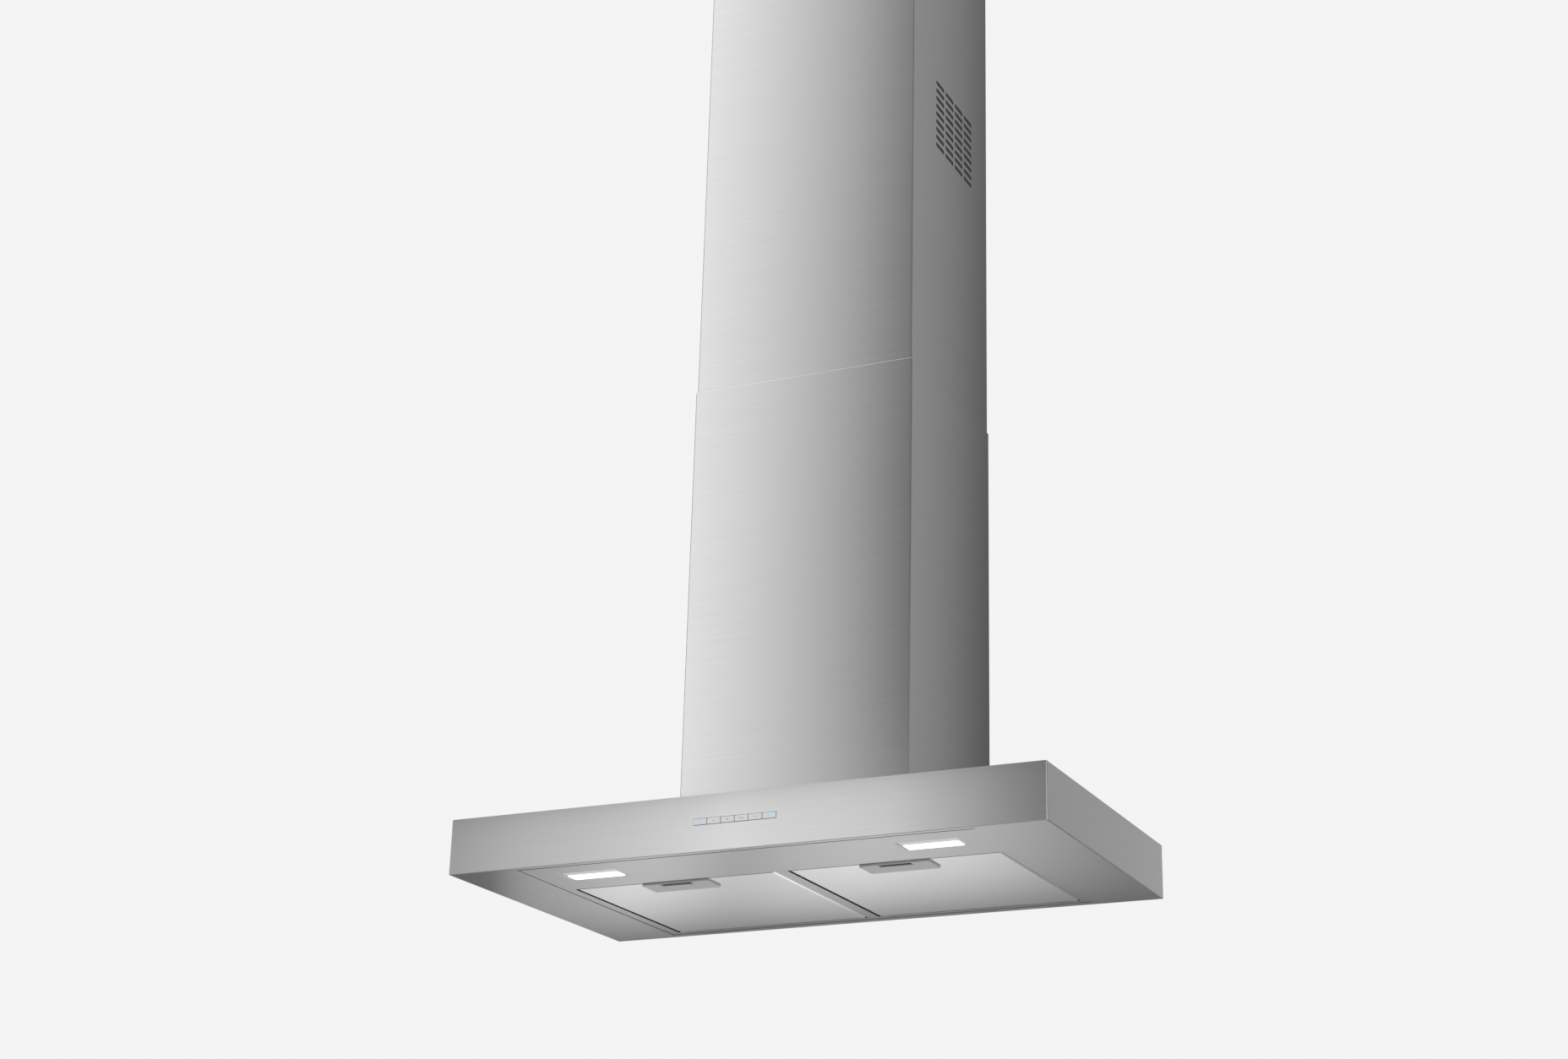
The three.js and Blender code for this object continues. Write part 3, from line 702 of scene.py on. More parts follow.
@dataclass(frozen=True)
class PerforatedSteel(BrushedSteel):
    """Satin sheet with fine staggered holes inside a plain border."""

    anisotropy: float = 0.35
    colour_play: float = 0.02
    roughness_play: float = 0.01
    hole_pitch: float = 2.0 * MM
    hole_radius: float = 0.36 * MM
    hole_shade: float = 0.25
    hole_tone: float = 0.12
    hole_softness: float = 0.2

    def detail(self, recipe: Recipe, shader: bpy.types.Node) -> None:
        """Add dark dimples on a staggered grid to the satin sheet."""
        super().detail(recipe, shader)
        place = recipe.coordinates("Object")
        staggered = recipe.stretched(place, (1, 1, 1), 45.0)
        grid = recipe.add(
            "ShaderNodeTexVoronoi",
            {"Vector": staggered, "Scale": 1 / self.hole_pitch, "Randomness": 0.0},
            voronoi_dimensions="2D",
        )
        reach = self.hole_radius / self.hole_pitch
        edge = (reach * (1 - self.hole_softness), reach * (1 + self.hole_softness))
        holes = recipe.ramp(grid.outputs["Distance"], edge, (1.0, 0.0), smooth=True)
        colour = shader.inputs["Base Color"].links[0].from_socket
        depth = recipe.math("MULTIPLY", holes, self.hole_shade)
        recipe.feed(recipe.mix(depth, colour, self.shade(self.hole_tone)), shader, "Base Color")


@dataclass(frozen=True)
class Galvanised(Finish):
    """Zinc-coated sheet with its spangle."""

    metallic: float = 0.9
    spangle: float = 14 * MM
    wander: float = 6 * MM
    wander_scale: float = 60.0
    peel_scale: float = 420.0
    peel_depth: float = 0.03 * MM

    def detail(self, recipe: Recipe, shader: bpy.types.Node) -> None:
        """Crystal cells that differ in tone and roughness, with a slight orange peel."""
        place = recipe.coordinates("Object")
        wander = recipe.add(
            "ShaderNodeTexNoise", {"Vector": place, "Scale": self.wander_scale, "Detail": 2.0}
        )
        shift = recipe.add(
            "ShaderNodeVectorMath",
            {0: wander.outputs["Color"], 1: (self.wander,) * 3},
            operation="MULTIPLY",
        )
        moved = recipe.add("ShaderNodeVectorMath", {0: place, 1: shift.outputs[0]}, operation="ADD")
        cells = recipe.add(
            "ShaderNodeTexVoronoi", {"Vector": moved.outputs[0], "Scale": 1 / self.spangle}
        )
        tone = recipe.add("ShaderNodeSeparateColor", {0: cells.outputs["Color"]}).outputs[0]
        colour = recipe.mix(tone, self.shade(0.86), self.shade(1.1))
        recipe.feed(colour, shader, "Base Color")
        spread = (self.roughness - 0.08, self.roughness + 0.1)
        recipe.feed(recipe.ramp(tone, (0, 1), spread), shader, "Roughness")
        peel = recipe.noise(place, self.peel_scale)
        recipe.feed(recipe.bump(peel, self.peel_depth), shader, "Normal")


@dataclass(frozen=True)
class Moulded(Finish):
    """Moulded plastic with a fine texture and faint flow marks."""

    texture_scale: float = 1800.0
    texture_depth: float = 0.02 * MM
    flow_scale: float = 28.0
    coat: float = 0.0
    coat_roughness: float = 0.08

    def detail(self, recipe: Recipe, shader: bpy.types.Node) -> None:
        """Add texture to the normal and slight changes of tone and roughness."""
        place = recipe.coordinates("Object")
        flow = recipe.noise(place, self.flow_scale, 3.0)
        colour = recipe.mix(flow, self.shade(0.93), self.shade(1.06))
        recipe.feed(colour, shader, "Base Color")
        spread = (self.roughness - 0.04, self.roughness + 0.05)
        recipe.feed(recipe.ramp(flow, (0.3, 0.7), spread), shader, "Roughness")
        texture = recipe.noise(place, self.texture_scale, 1.0)
        recipe.feed(recipe.bump(texture, self.texture_depth), shader, "Normal")
        shader.inputs["Coat Weight"].default_value = self.coat
        shader.inputs["Coat Roughness"].default_value = self.coat_roughness


@dataclass(frozen=True)
class Machined(Finish):
    """Turned or pressed steel with fine tool marks."""

    metallic: float = 1.0
    mark_scale: tuple[float, float, float] = (900.0, 40.0, 40.0)
    mark_depth: float = 0.01 * MM
    patch_scale: float = 40.0

    def detail(self, recipe: Recipe, shader: bpy.types.Node) -> None:
        """Add tool marks across the wheel's axis and patches of tone."""
        place = recipe.coordinates("Object")
        marks = recipe.noise(recipe.stretched(place, self.mark_scale), 1.0)
        patches = recipe.noise(place, self.patch_scale, 4.0)
        colour = recipe.mix(patches, self.shade(0.85), self.shade(1.12))
        recipe.feed(colour, shader, "Base Color")
        spread = (self.roughness - 0.06, self.roughness + 0.08)
        recipe.feed(recipe.ramp(marks, (0.3, 0.7), spread), shader, "Roughness")
        recipe.feed(recipe.bump(marks, self.mark_depth), shader, "Normal")


@dataclass(frozen=True)
class WireMesh(Finish):
    """Layers of expanded aluminium, seen as a diamond lattice."""

    metallic: float = 1.0
    pitch: float = 5 * MM
    slant: float = 35.0
    gap_tone: float = 0.12
    strand_height: float = 1.2 * MM

    def detail(self, recipe: Recipe, shader: bpy.types.Node) -> None:
        """Two crossed sets of strands that stand above dark gaps."""
        place = recipe.coordinates("Object")
        strands = []
        for turn in (self.slant, -self.slant):
            waves = recipe.add(
                "ShaderNodeTexWave",
                {
                    "Vector": recipe.stretched(place, (1, 1, 1), turn),
                    "Scale": WAVE_SCALE / self.pitch,
                    "Distortion": 0.6,
                    "Detail": 1.0,
                },
                wave_type="BANDS",
                bands_direction="X",
            )
            strands.append(waves.outputs["Fac"])
        top = recipe.math("MAXIMUM", *strands)
        strand = recipe.ramp(top, (0.45, 0.75), (0, 1), smooth=True)
        colour = recipe.mix(strand, self.shade(self.gap_tone), self.colour)
        recipe.feed(colour, shader, "Base Color")
        recipe.feed(recipe.bump(top, self.strand_height, 0.8), shader, "Normal")


@dataclass(frozen=True)
class Diffuser(Finish):
    """Opal lamp cover, lit from behind, with fine ribs along its length."""

    glow: float = 1.15
    rib_pitch: float = 2.4 * MM
    rib_height: float = 0.2 * MM

    def detail(self, recipe: Recipe, shader: bpy.types.Node) -> None:
        """Ribs that change the light a little, and an even glow."""
        place = recipe.coordinates("Object")
        ribs = recipe.add(
            "ShaderNodeTexWave",
            {"Vector": place, "Scale": WAVE_SCALE / self.rib_pitch},
            wave_type="BANDS",
            bands_direction="Y",
        )
        glow = recipe.mix(ribs.outputs["Fac"], self.shade(0.94), self.colour)
        recipe.feed(glow, shader, "Emission Color")
        shader.inputs["Emission Strength"].default_value = self.glow
        ridges = recipe.bump(ribs.outputs["Fac"], self.rib_height, 0.4)
        recipe.feed(ridges, shader, "Normal")


@dataclass(frozen=True)
class PrintedBoard(Finish):
    """Circuit board with solder mask, tracks and pads."""

    track_pitch: float = 2.6 * MM
    track_height: float = 0.05 * MM
    pad_colour: Colour = (0.7, 0.68, 0.6)

    def detail(self, recipe: Recipe, shader: bpy.types.Node) -> None:
        """Tracks under the mask and bright pads at their ends."""
        place = recipe.coordinates("Object")
        tracks = recipe.add(
            "ShaderNodeTexBrick",
            {
                "Vector": recipe.stretched(place, (1 / self.track_pitch,) * 3),
                "Scale": 0.5,
                "Mortar Size": 0.06,
                "Color1": (*self.shade(1.0), 1),
                "Color2": (*self.shade(1.35), 1),
                "Mortar": (*self.shade(0.6), 1),
            },
        )
        dots = recipe.add(
            "ShaderNodeTexVoronoi",
            {"Vector": place, "Scale": 1 / (2 * self.track_pitch), "Randomness": 0.6},
        )
        pads = recipe.ramp(dots.outputs["Distance"], (0.1, 0.13), (1.0, 0.0))
        colour = recipe.mix(pads, tracks.outputs["Color"], self.pad_colour)
        recipe.feed(colour, shader, "Base Color")
        relief = recipe.bump(tracks.outputs["Fac"], self.track_height, 0.5)
        recipe.feed(relief, shader, "Normal")


@dataclass(frozen=True)
class Print(Finish):
    """Ink or a lit sign on a button."""

    glow: float = 0.0
    grain_scale: float = 3000.0

    def detail(self, recipe: Recipe, shader: bpy.types.Node) -> None:
        """A slightly uneven print, with light of its own where it is lit."""
        grain = recipe.noise(recipe.coordinates("Object"), self.grain_scale)
        colour = recipe.mix(grain, self.shade(0.9), self.shade(1.1))
        recipe.feed(colour, shader, "Base Color")
        if self.glow > 0:
            recipe.feed(colour, shader, "Emission Color")
            shader.inputs["Emission Strength"].default_value = self.glow


@dataclass(frozen=True)
class PlasterFloor(Finish):
    """The pale floor of the studio."""

    cloud_scale: float = 1.2

    def detail(self, recipe: Recipe, shader: bpy.types.Node) -> None:
        """Very faint changes of tone."""
        cloud = recipe.noise(recipe.coordinates("Object"), self.cloud_scale, 3.0)
        colour = recipe.mix(cloud, self.shade(0.985), self.shade(1.01))
        recipe.feed(colour, shader, "Base Color")


FINISHES: dict[Slot, Finish] = {
    Slot.BRUSHED_STEEL: BrushedSteel((0.60, 0.602, 0.605), 0.34),
    Slot.FILTER_STEEL: PerforatedSteel((0.93, 0.932, 0.935), 0.37),
    Slot.ALUMINIUM_MESH: WireMesh((0.62, 0.63, 0.64), 0.4),
    Slot.GALVANISED: Galvanised((0.56, 0.58, 0.59), 0.42),
    Slot.LATCH_GREY: Moulded((0.40, 0.405, 0.405), 0.45),
    Slot.DARK_PLASTIC: Moulded((0.03, 0.03, 0.032), 0.5),
    Slot.BUTTON_PLASTIC: Moulded(
        (0.66, 0.662, 0.665), 0.22, texture_depth=0.002 * MM, coat=0.6
    ),
    Slot.LAMP_DIFFUSER: Diffuser((0.98, 0.985, 1.0), 0.3),
    Slot.CIRCUIT_BOARD: PrintedBoard((0.03, 0.13, 0.06), 0.4),
    Slot.FAN_PLASTIC: Moulded((0.05, 0.051, 0.055), 0.48),
    Slot.MOTOR_STEEL: Machined((0.34, 0.35, 0.36), 0.38),
    Slot.FLAP_PLASTIC: Moulded((0.28, 0.29, 0.3), 0.5),
}


class Palette:
    """The materials of the hood, each made once."""

    def __init__(self) -> None:
        """Build a material for each slot, the lamps' pockets and the prints on the buttons."""
        self.by_slot = {slot: finish.material(slot.value) for slot, finish in FINISHES.items()}
        self.ink = Print((0.16, 0.17, 0.18), 0.5).material("button_ink")
        self.lit_sign = Print((0.14, 0.42, 0.78), 0.4, glow=0.6).material("button_light")
        self.reflector = Moulded((0.66, 0.665, 0.67), 0.3).material("lamp_reflector")


# ---------------------------------------------------------------- what every sub-assembly does


@dataclass
class SubAssembly:
    """A group of pieces that are built and dressed together."""

    palette: Palette

    def place(
        self,
        piece: bpy.types.Object,
        slot: Slot,
        body: str,
        *nodes: str,
        material: bpy.types.Material | None = None,
    ) -> bpy.types.Object:
        """Dress a piece and let it ride on its body.

        Args:
            piece: the finished piece.
            slot: the record's slot that its finish belongs to.
            body: the body that it moves with.
            *nodes: the CAD nodes that it stands for.
            material: a material other than the slot's own.

        Returns:
            The piece.
        """
        piece.data.materials.clear()
        piece.data.materials.append(material or self.palette.by_slot[slot])
        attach(piece, body)
        if nodes:
            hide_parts(*nodes)
        stands_for = ", ".join(nodes) or "no node"
        LOG.info("%s rides on %s and stands for %s", piece.name, body, stands_for)
        return piece

    def soften(self, node: str, slot: Slot, body: str, bevel: float) -> bpy.types.Object:
        """Replace a node by a copy of its shape with rounded edges.

        Args:
            node: the CAD node.
            slot: slot of its finish.
            body: the body that it moves with.
            bevel: width of the rounded edges.

        Returns:
            The new piece.
        """
        piece = Draft.of_node(node).finish(f"{node}_finish", bevel=bevel, segments=2)
        return self.place(piece, slot, body, node)

    def dress(self, node: str, slot: Slot) -> None:
        """Give a CAD node that stays its procedural material."""
        for holder in frame["nodes"][node].material_slots:
            holder.material = self.palette.by_slot[slot]
        LOG.info("%s keeps its shape and is dressed as %s", node, slot.value)


# ---------------------------------------------------------------- canopy


@dataclass
class Canopy(SubAssembly):
    """The flat steel box with its back plate, lamp panel and filter rails."""

    bend_radius: float = 1.6 * MM
    cut_edge: float = 0.25 * MM
    panel_bend: float = 1.0 * MM
    front_lip: float = 9 * MM
    # The dark strip behind the front lip is painted shade for the shadowed gap between lip and
    # panel.
    seal_width: float = 5.5 * MM
    seal_height: float = 0.9 * MM
    seal_corner: float = 1.0 * MM
    side_border: float = 104 * MM

    def build(self) -> None:
        """Build every piece of the canopy."""
        self.build_shell()
        self.build_lamp_strip()
        self.build_seal()
        self.build_support()
        self.soften("back_plate", Slot.GALVANISED, "hood", self.cut_edge)

    def build_shell(self) -> None:
        """Round the folds of the box and break its cut edges."""
        span = Span.of("canopy_shell")
        outside = [(0, x) for x in span.x] + [(1, span.low.y)] + [(2, z) for z in span.z]

        def radius(start: Vector, end: Vector) -> float:
            """Radius of an edge: a fold lies on two outer faces."""
            faces = 0
            for axis, value in outside:
                faces += all(abs(point[axis] - value) < TOUCHING for point in (start, end))
            return self.bend_radius if faces > 1 else self.cut_edge

        shell = Draft.of_node("canopy_shell").finish("canopy_box", bends=radius, segments=4)
        self.place(shell, Slot.BRUSHED_STEEL, "hood", "canopy_shell")

    def build_lamp_strip(self) -> None:
        """The panel that carries the lamps, with its edge turned up towards the filters."""
        span = Span.of("lamp_strip")

        def radius(start: Vector, end: Vector) -> float:
            """Radius of an edge: the turned-up edge has a bend below."""
            at_rear = all(abs(point.y - span.high.y) < TOUCHING for point in (start, end))
            at_floor = all(abs(point.z - span.low.z) < TOUCHING for point in (start, end))
            return self.panel_bend if at_rear and at_floor else self.cut_edge

        panel = Draft.of_node("lamp_strip").finish("lamp_panel", bends=radius)
        self.place(panel, Slot.BRUSHED_STEEL, "hood", "lamp_strip")

    def build_seal(self) -> None:
        """A dark strip under the lamp panel just behind the front lip: painted shade for the
        shadowed gap there.
        """
        shell, panel = Span.of("canopy_shell"), Span.of("lamp_strip")
        front = shell.low.y + self.front_lip
        x, y = inset(shell.x, self.side_border), (front, front + self.seal_width)
        z = (panel.low.z - self.seal_height, panel.low.z)
        gap_shade_strip = Draft()
        gap_shade_strip.plate(Plane.FLOOR, rounded_rectangle(x, y, self.seal_corner), z)
        gap_shade_strip.flatten()
        piece = gap_shade_strip.finish("front_seal", bevel=0.3 * MM, segments=2)
        self.place(piece, Slot.DARK_PLASTIC, "hood")

    def build_support(self) -> None:
        """The rails round the filters."""
        rails = Draft.of_node("filter_support")
        piece = rails.finish("filter_rails", bevel=self.cut_edge, segments=2)
        self.place(piece, Slot.BRUSHED_STEEL, "hood", "filter_support")


@dataclass
class Lamp(SubAssembly):
    """One lamp: a bezel with a sloping pocket, its lit cover and the board behind."""

    side: Side = Side.LEFT
    rim: float = 0.7 * MM
    pocket_depth: float = 3.2 * MM
    corner: float = 1.5 * MM
    lens_corner: float = 3 * MM
    lens_gap: float = 0.3 * MM
    dome: float = 0.5 * MM
    dome_draw: float = 1.8 * MM
    board_edge: float = 0.1 * MM

    def build(self) -> None:
        """Build the lamp's pieces."""
        self.build_bezel()
        self.build_lens()
        board = f"lamp_board_{self.side.suffix}"
        self.soften(board, Slot.CIRCUIT_BOARD, "hood", self.board_edge)

    def build_bezel(self) -> None:
        """A frame whose lower face slopes up into a pocket and down again to the lens."""
        node = f"lamp_bezel_{self.side.suffix}"
        bezel, lens = Span.of(node), Span.of(f"lamp_lens_{self.side.suffix}")
        floor = bezel.low.z
        outside = rounded_rectangle(bezel.x, bezel.y, self.corner)
        rim = rounded_rectangle(inset(bezel.x, self.rim), inset(bezel.y, self.rim), self.corner)
        hole_x, hole_y = inset(lens.x, -self.lens_gap), inset(lens.y, -self.lens_gap)
        hole = rounded_rectangle(hole_x, hole_y, self.lens_corner + self.lens_gap)
        sections = [
            (outside, bezel.high.z),
            (outside, floor),
            (rim, floor),
            (rim, floor + self.pocket_depth),
            (hole, floor + self.dome),
            (hole, bezel.high.z),
        ]
        draft = Draft()
        rings = [draft.ring([Vector((x, y, z)) for x, y in outline]) for outline, z in sections]
        for lower, upper in zip(rings, rings[1:] + rings[:1]):
            draft.strip(lower, upper)
        piece = draft.finish(f"lamp_pocket_{self.side.suffix}", sharp_angle=35)
        self.place(piece, Slot.GALVANISED, "hood", node, material=self.palette.reflector)

    def build_lens(self) -> None:
        """The lit cover, with a slightly domed face."""
        node = f"lamp_lens_{self.side.suffix}"
        span = Span.of(node)
        draft = Draft()
        draft.loft(
            Plane.FLOOR,
            crowned(span.x, span.y, self.lens_corner, span.z, self.dome, self.dome_draw),
        )
        piece = draft.finish(f"lamp_cover_{self.side.suffix}", sharp_angle=50)
        self.place(piece, Slot.LAMP_DIFFUSER, "hood", node)


# ---------------------------------------------------------------- filters


@dataclass
class GreaseFilter(SubAssembly):
    """One hinged filter with its frame, mesh, handle plate and latch."""

    side: Side = Side.LEFT
    tooth_pitch: float = 4.5 * MM
    tooth_width: float = 2.6 * MM
    tooth_depth: float = 3.2 * MM
    tooth_taper: float = 0.3 * MM
    tooth_margin: float = 8 * MM
    edge: float = 0.3 * MM
    roll: float = 4.5 * MM
    roll_steps: int = 6
    plate_corner: float = 2.5 * MM
    plate_edge: float = 0.9 * MM
    hidden_edge: float = 0.2 * MM
    slot_width: float = 50 * MM
    slot_depth: float = 12 * MM
    slot_inset: float = 1.5 * MM
    slot_corner: float = 1.2 * MM

    @property
    def body(self) -> str:
        """The body that the filter's pieces ride on."""
        return f"filter_{self.side.suffix}"

    def build(self) -> None:
        """Build the filter's pieces."""
        suffix = self.side.suffix
        self.build_face()
        self.soften(f"filter_rim_{suffix}", Slot.GALVANISED, self.body, self.edge)
        self.dress(f"filter_mesh_{suffix}", Slot.ALUMINIUM_MESH)
        self.build_handle_plate()
        self.soften(f"latch_bolt_{suffix}", Slot.DARK_PLASTIC, f"latch_{suffix}", self.edge)

    def slot_window(self) -> tuple[Limits, Limits]:
        """Limits of the finger slot along X and Y, from the places of the plate and the sheet."""
        plate = Span.of(f"latch_plate_{self.side.suffix}")
        face = Span.of(f"filter_face_{self.side.suffix}")
        front = face.low.y + self.slot_inset
        return centred(plate.centre.x, self.slot_width), (front, front + self.slot_depth)

    def build_face(self) -> None:
        """The perforated sheet: rolled up at its sides and toothed where it meets the rear rail."""
        node = f"filter_face_{self.side.suffix}"
        span = Span.of(node)
        flat = inset(span.x, self.roll)
        front, rear = span.y
        outline: Outline = [(flat[0], front), (flat[1], front), (flat[1], rear)]
        count = int((flat[1] - flat[0] - 2 * self.tooth_margin) / self.tooth_pitch)
        deep = rear - self.tooth_depth
        for i in range(count):
            right = flat[1] - self.tooth_margin - i * self.tooth_pitch
            left = right - self.tooth_width
            foot = inset((left, right), self.tooth_taper)
            outline += [(right, rear), (foot[1], deep), (foot[0], deep), (left, rear)]
        outline.append((flat[0], rear))
        x, y = self.slot_window()
        draft = Draft()
        draft.plate(Plane.FLOOR, outline, span.z, [rounded_rectangle(x, y, self.slot_corner)])
        draft.flatten()
        for edge, outward in zip(flat, (-1, 1)):
            draft.plate(Plane.FRONT, self.rolled_side(edge, outward, span), span.y)
            draft.open_between(edge)
        piece = draft.finish(f"filter_sheet_{self.side.suffix}", sharp_angle=20)
        self.place(piece, Slot.FILTER_STEEL, self.body, node)

    def rolled_side(self, edge: float, outward: int, span: Span) -> Outline:
        """Section of the sheet where it is rolled up at one side.

        Args:
            edge: where the flat sheet ends, along X.
            outward: the direction away from the sheet, -1 or 1.
            span: box of the sheet.

        Returns:
            The outline in (x, z).
        """
        centre = (edge, span.low.z + self.roll)
        thickness = span.high.z - span.low.z
        start, end = -90, -90 + outward * 90
        outer = arc(centre, self.roll, start, end, self.roll_steps)
        inner = arc(centre, self.roll - thickness, start, end, self.roll_steps)
        return outer + inner[::-1]

    def build_handle_plate(self) -> None:
        """The grey plate round the finger slot, with rounded corners and edges."""
        node = f"latch_plate_{self.side.suffix}"
        span = Span.of(node)
        x, y = self.slot_window()
        draft = Draft()
        draft.plate(
            Plane.FLOOR,
            rounded_rectangle(span.x, span.y, self.plate_corner),
            span.z,
            [rounded_rectangle(x, y, self.slot_corner)],
        )
        draft.flatten()
        floor = span.low.z

        def radius(start: Vector, end: Vector) -> float:
            """Radius of an edge: the lower edges are the visible ones."""
            below = all(abs(point.z - floor) < TOUCHING for point in (start, end))
            return self.plate_edge if below else self.hidden_edge

        piece = draft.finish(f"handle_plate_{self.side.suffix}", bends=radius, sharp_angle=50)
        self.place(piece, Slot.LATCH_GREY, self.body, node)


# ---------------------------------------------------------------- push buttons


class Sign(Enum):
    """The plain signs on the buttons: widths of their bars in millimetres, or none if it is lit."""

    LIT = ()
    SHORT = (3.4,)
    MEDIUM = (4.6,)
    LONG = (6.4,)
    PAIR = (1.2, 1.2)


@dataclass
class ButtonRow(SubAssembly):
    """Six glossy push buttons in a dark carrier behind the canopy's front."""

    signs: tuple[Sign, ...] = (Sign.LIT, Sign.SHORT, Sign.MEDIUM, Sign.LONG, Sign.PAIR, Sign.LIT)
    corner: float = 0.7 * MM
    crown: float = 0.35 * MM
    bar_height: float = 0.7 * MM
    bar_corner: float = 0.25 * MM
    bar_gap: float = 0.9 * MM
    light_width: float = 3.4 * MM
    light_steps: int = 24
    relief: float = 0.08 * MM
    carrier_edge: float = 0.2 * MM
    board_edge: float = 0.1 * MM
    board_parts_mm: tuple[tuple[float, float, float, float], ...] = (
        (-46, 14, 14, 2),
        (-18, 22, 9, 3),
        (16, 12, 16, 10),
        (44, 26, 7, 8),
    )

    def build(self) -> None:
        """Build the buttons, their signs and what lies behind them."""
        for number, sign in enumerate(self.signs, start=1):
            self.build_button(number, sign)
        self.soften("button_carrier", Slot.DARK_PLASTIC, "hood", self.carrier_edge)
        self.soften("control_board", Slot.CIRCUIT_BOARD, "hood", self.board_edge)
        self.build_board_parts()

    def build_button(self, number: int, sign: Sign) -> None:
        """One button with a crowned face and its sign.

        Args:
            number: the button's number, from the left.
            sign: what is printed or lit on it.
        """
        node = f"button_{number}"
        span = Span.of(node)
        depth = (span.low.y + self.relief, span.high.y)
        draft = Draft()
        draft.loft(
            Plane.FRONT, crowned(span.x, span.z, self.corner, depth, self.crown, self.crown)
        )
        self.place(draft.finish(f"{node}_key", sharp_angle=50), Slot.BUTTON_PLASTIC, node, node)
        self.build_sign(number, sign, span)

    def build_sign(self, number: int, sign: Sign, span: Span) -> None:
        """The print on a button: bars, or a small lit dot.

        Args:
            number: the button's number.
            sign: the sign.
            span: box of the button.
        """
        depth = (span.low.y, span.low.y + 2 * self.relief)
        centre = span.centre
        draft = Draft()
        if sign is Sign.LIT:
            last = 360 * (1 - 1 / self.light_steps)
            place = (centre.x, centre.z)
            dot = arc(place, self.light_width / 2, 0, last, self.light_steps - 1)
            draft.plate(Plane.FRONT, dot, depth)
        widths = [width * MM for width in sign.value]
        left = centre.x - (sum(widths) + self.bar_gap * (len(widths) - 1)) / 2
        upright = centred(centre.z, self.bar_height)
        for width in widths:
            bar = rounded_rectangle((left, left + width), upright, self.bar_corner, 3)
            draft.plate(Plane.FRONT, bar, depth)
            left += width + self.bar_gap
        piece = draft.finish(f"button_{number}_sign")
        material = self.palette.lit_sign if sign is Sign.LIT else self.palette.ink
        self.place(piece, Slot.BUTTON_PLASTIC, f"button_{number}", material=material)

    def build_board_parts(self) -> None:
        """Chips, a relay and a plug row on the back of the control board."""
        board = Span.of("control_board")
        rear = board.high.y
        chips = Draft()
        for x, width, height, depth in self.board_parts_mm:
            across = centred(board.centre.x + x * MM, width * MM)
            upright = centred(board.centre.z, height * MM)
            chips.block(across, (rear, rear + depth * MM), upright)
        piece = chips.finish("control_parts", bevel=0.4 * MM, segments=2)
        self.place(piece, Slot.DARK_PLASTIC, "hood")


# ---------------------------------------------------------------- chimney


@dataclass
class FoldedChannel:
    """Sheet folded round four bends into a channel that is open towards the wall."""

    span: Span
    return_width: float
    thickness: float = 1.2 * MM
    radius: float = 2.0 * MM
    bend_steps: int = 6

    def stations(self) -> list[tuple[Vector, Vector]]:
        """Pairs of points on the outer and inner face along the section.

        Returns:
            The pairs, from the left return to the right one.
        """
        x0, x1 = self.span.x
        front, back = self.span.y
        corners = [
            Vector((x0 + self.return_width, back)),
            Vector((x0, back)),
            Vector((x0, front)),
            Vector((x1, front)),
            Vector((x1, back)),
            Vector((x1 - self.return_width, back)),
        ]
        runs = [(b - a).normalized() for a, b in zip(corners, corners[1:])]
        pairs = [(corners[0], corners[0] + runs[1] * self.thickness)]
        for corner, before, after in zip(corners[1:], runs, runs[1:]):
            centre = corner - before * self.radius + after * self.radius
            for i in range(self.bend_steps + 1):
                angle = math.radians(90 * i / self.bend_steps)
                outward = before * math.sin(angle) - after * math.cos(angle)
                inside = self.radius - self.thickness
                pairs.append((centre + outward * self.radius, centre + outward * inside))
        pairs.append((corners[-1], corners[-1] - runs[3] * self.thickness))
        return pairs

    def draft(self, slots: Sequence[Outline] = ()) -> Draft:
        """Draw the channel.

        Args:
            slots: outlines in (y, z) that are cut through both sides.

        Returns:
            The draft of the folded sheet.
        """
        draft = Draft()
        pairs = self.stations()
        columns = []
        for outer, inner in pairs:
            columns.append(
                [draft.ring([Vector((p.x, p.y, z)) for z in self.span.z]) for p in (outer, inner)]
            )
        for i, (here, there) in enumerate(zip(columns, columns[1:])):
            run = pairs[i + 1][0] - pairs[i][0]
            if slots and abs(run.x) < TOUCHING and abs(run.y) > self.return_width:
                self.pierce(draft, here, there, slots)
            else:
                for near, far in zip(here, there):
                    draft.bm.faces.new((near[0], far[0], far[1], near[1]))
            for end in (0, 1):
                draft.bm.faces.new((here[0][end], there[0][end], there[1][end], here[1][end]))
        for column in (columns[0], columns[-1]):
            draft.bm.faces.new((column[0][0], column[0][1], column[1][1], column[1][0]))
        return draft

    def pierce(
        self,
        draft: Draft,
        here: list[list[bmesh.types.BMVert]],
        there: list[list[bmesh.types.BMVert]],
        slots: Sequence[Outline],
    ) -> None:
        """Fill one side of the channel, leaving the slots open.

        Args:
            draft: the draft that is drawn in.
            here: outer and inner vertices at the side's first end, each low and high.
            there: the same at its other end.
            slots: outlines in (y, z).
        """
        rings = []
        for near, far in zip(here, there):
            corners = [near[0], far[0], far[1], near[1]]
            x = near[0].co.x
            loops = [draft.ring([Vector((x, y, z)) for y, z in slot]) for slot in slots]
            drawn = [[Vector((v.co.y, v.co.z, 0)) for v in loop] for loop in (corners, *loops)]
            flat = corners + [vertex for loop in loops for vertex in loop]
            for a, b, c in tessellate_polygon(drawn):
                draft.bm.faces.new((flat[a], flat[b], flat[c]))
            rings.append(loops)
        for outer, inner in zip(*rings):
            draft.strip(outer, inner)


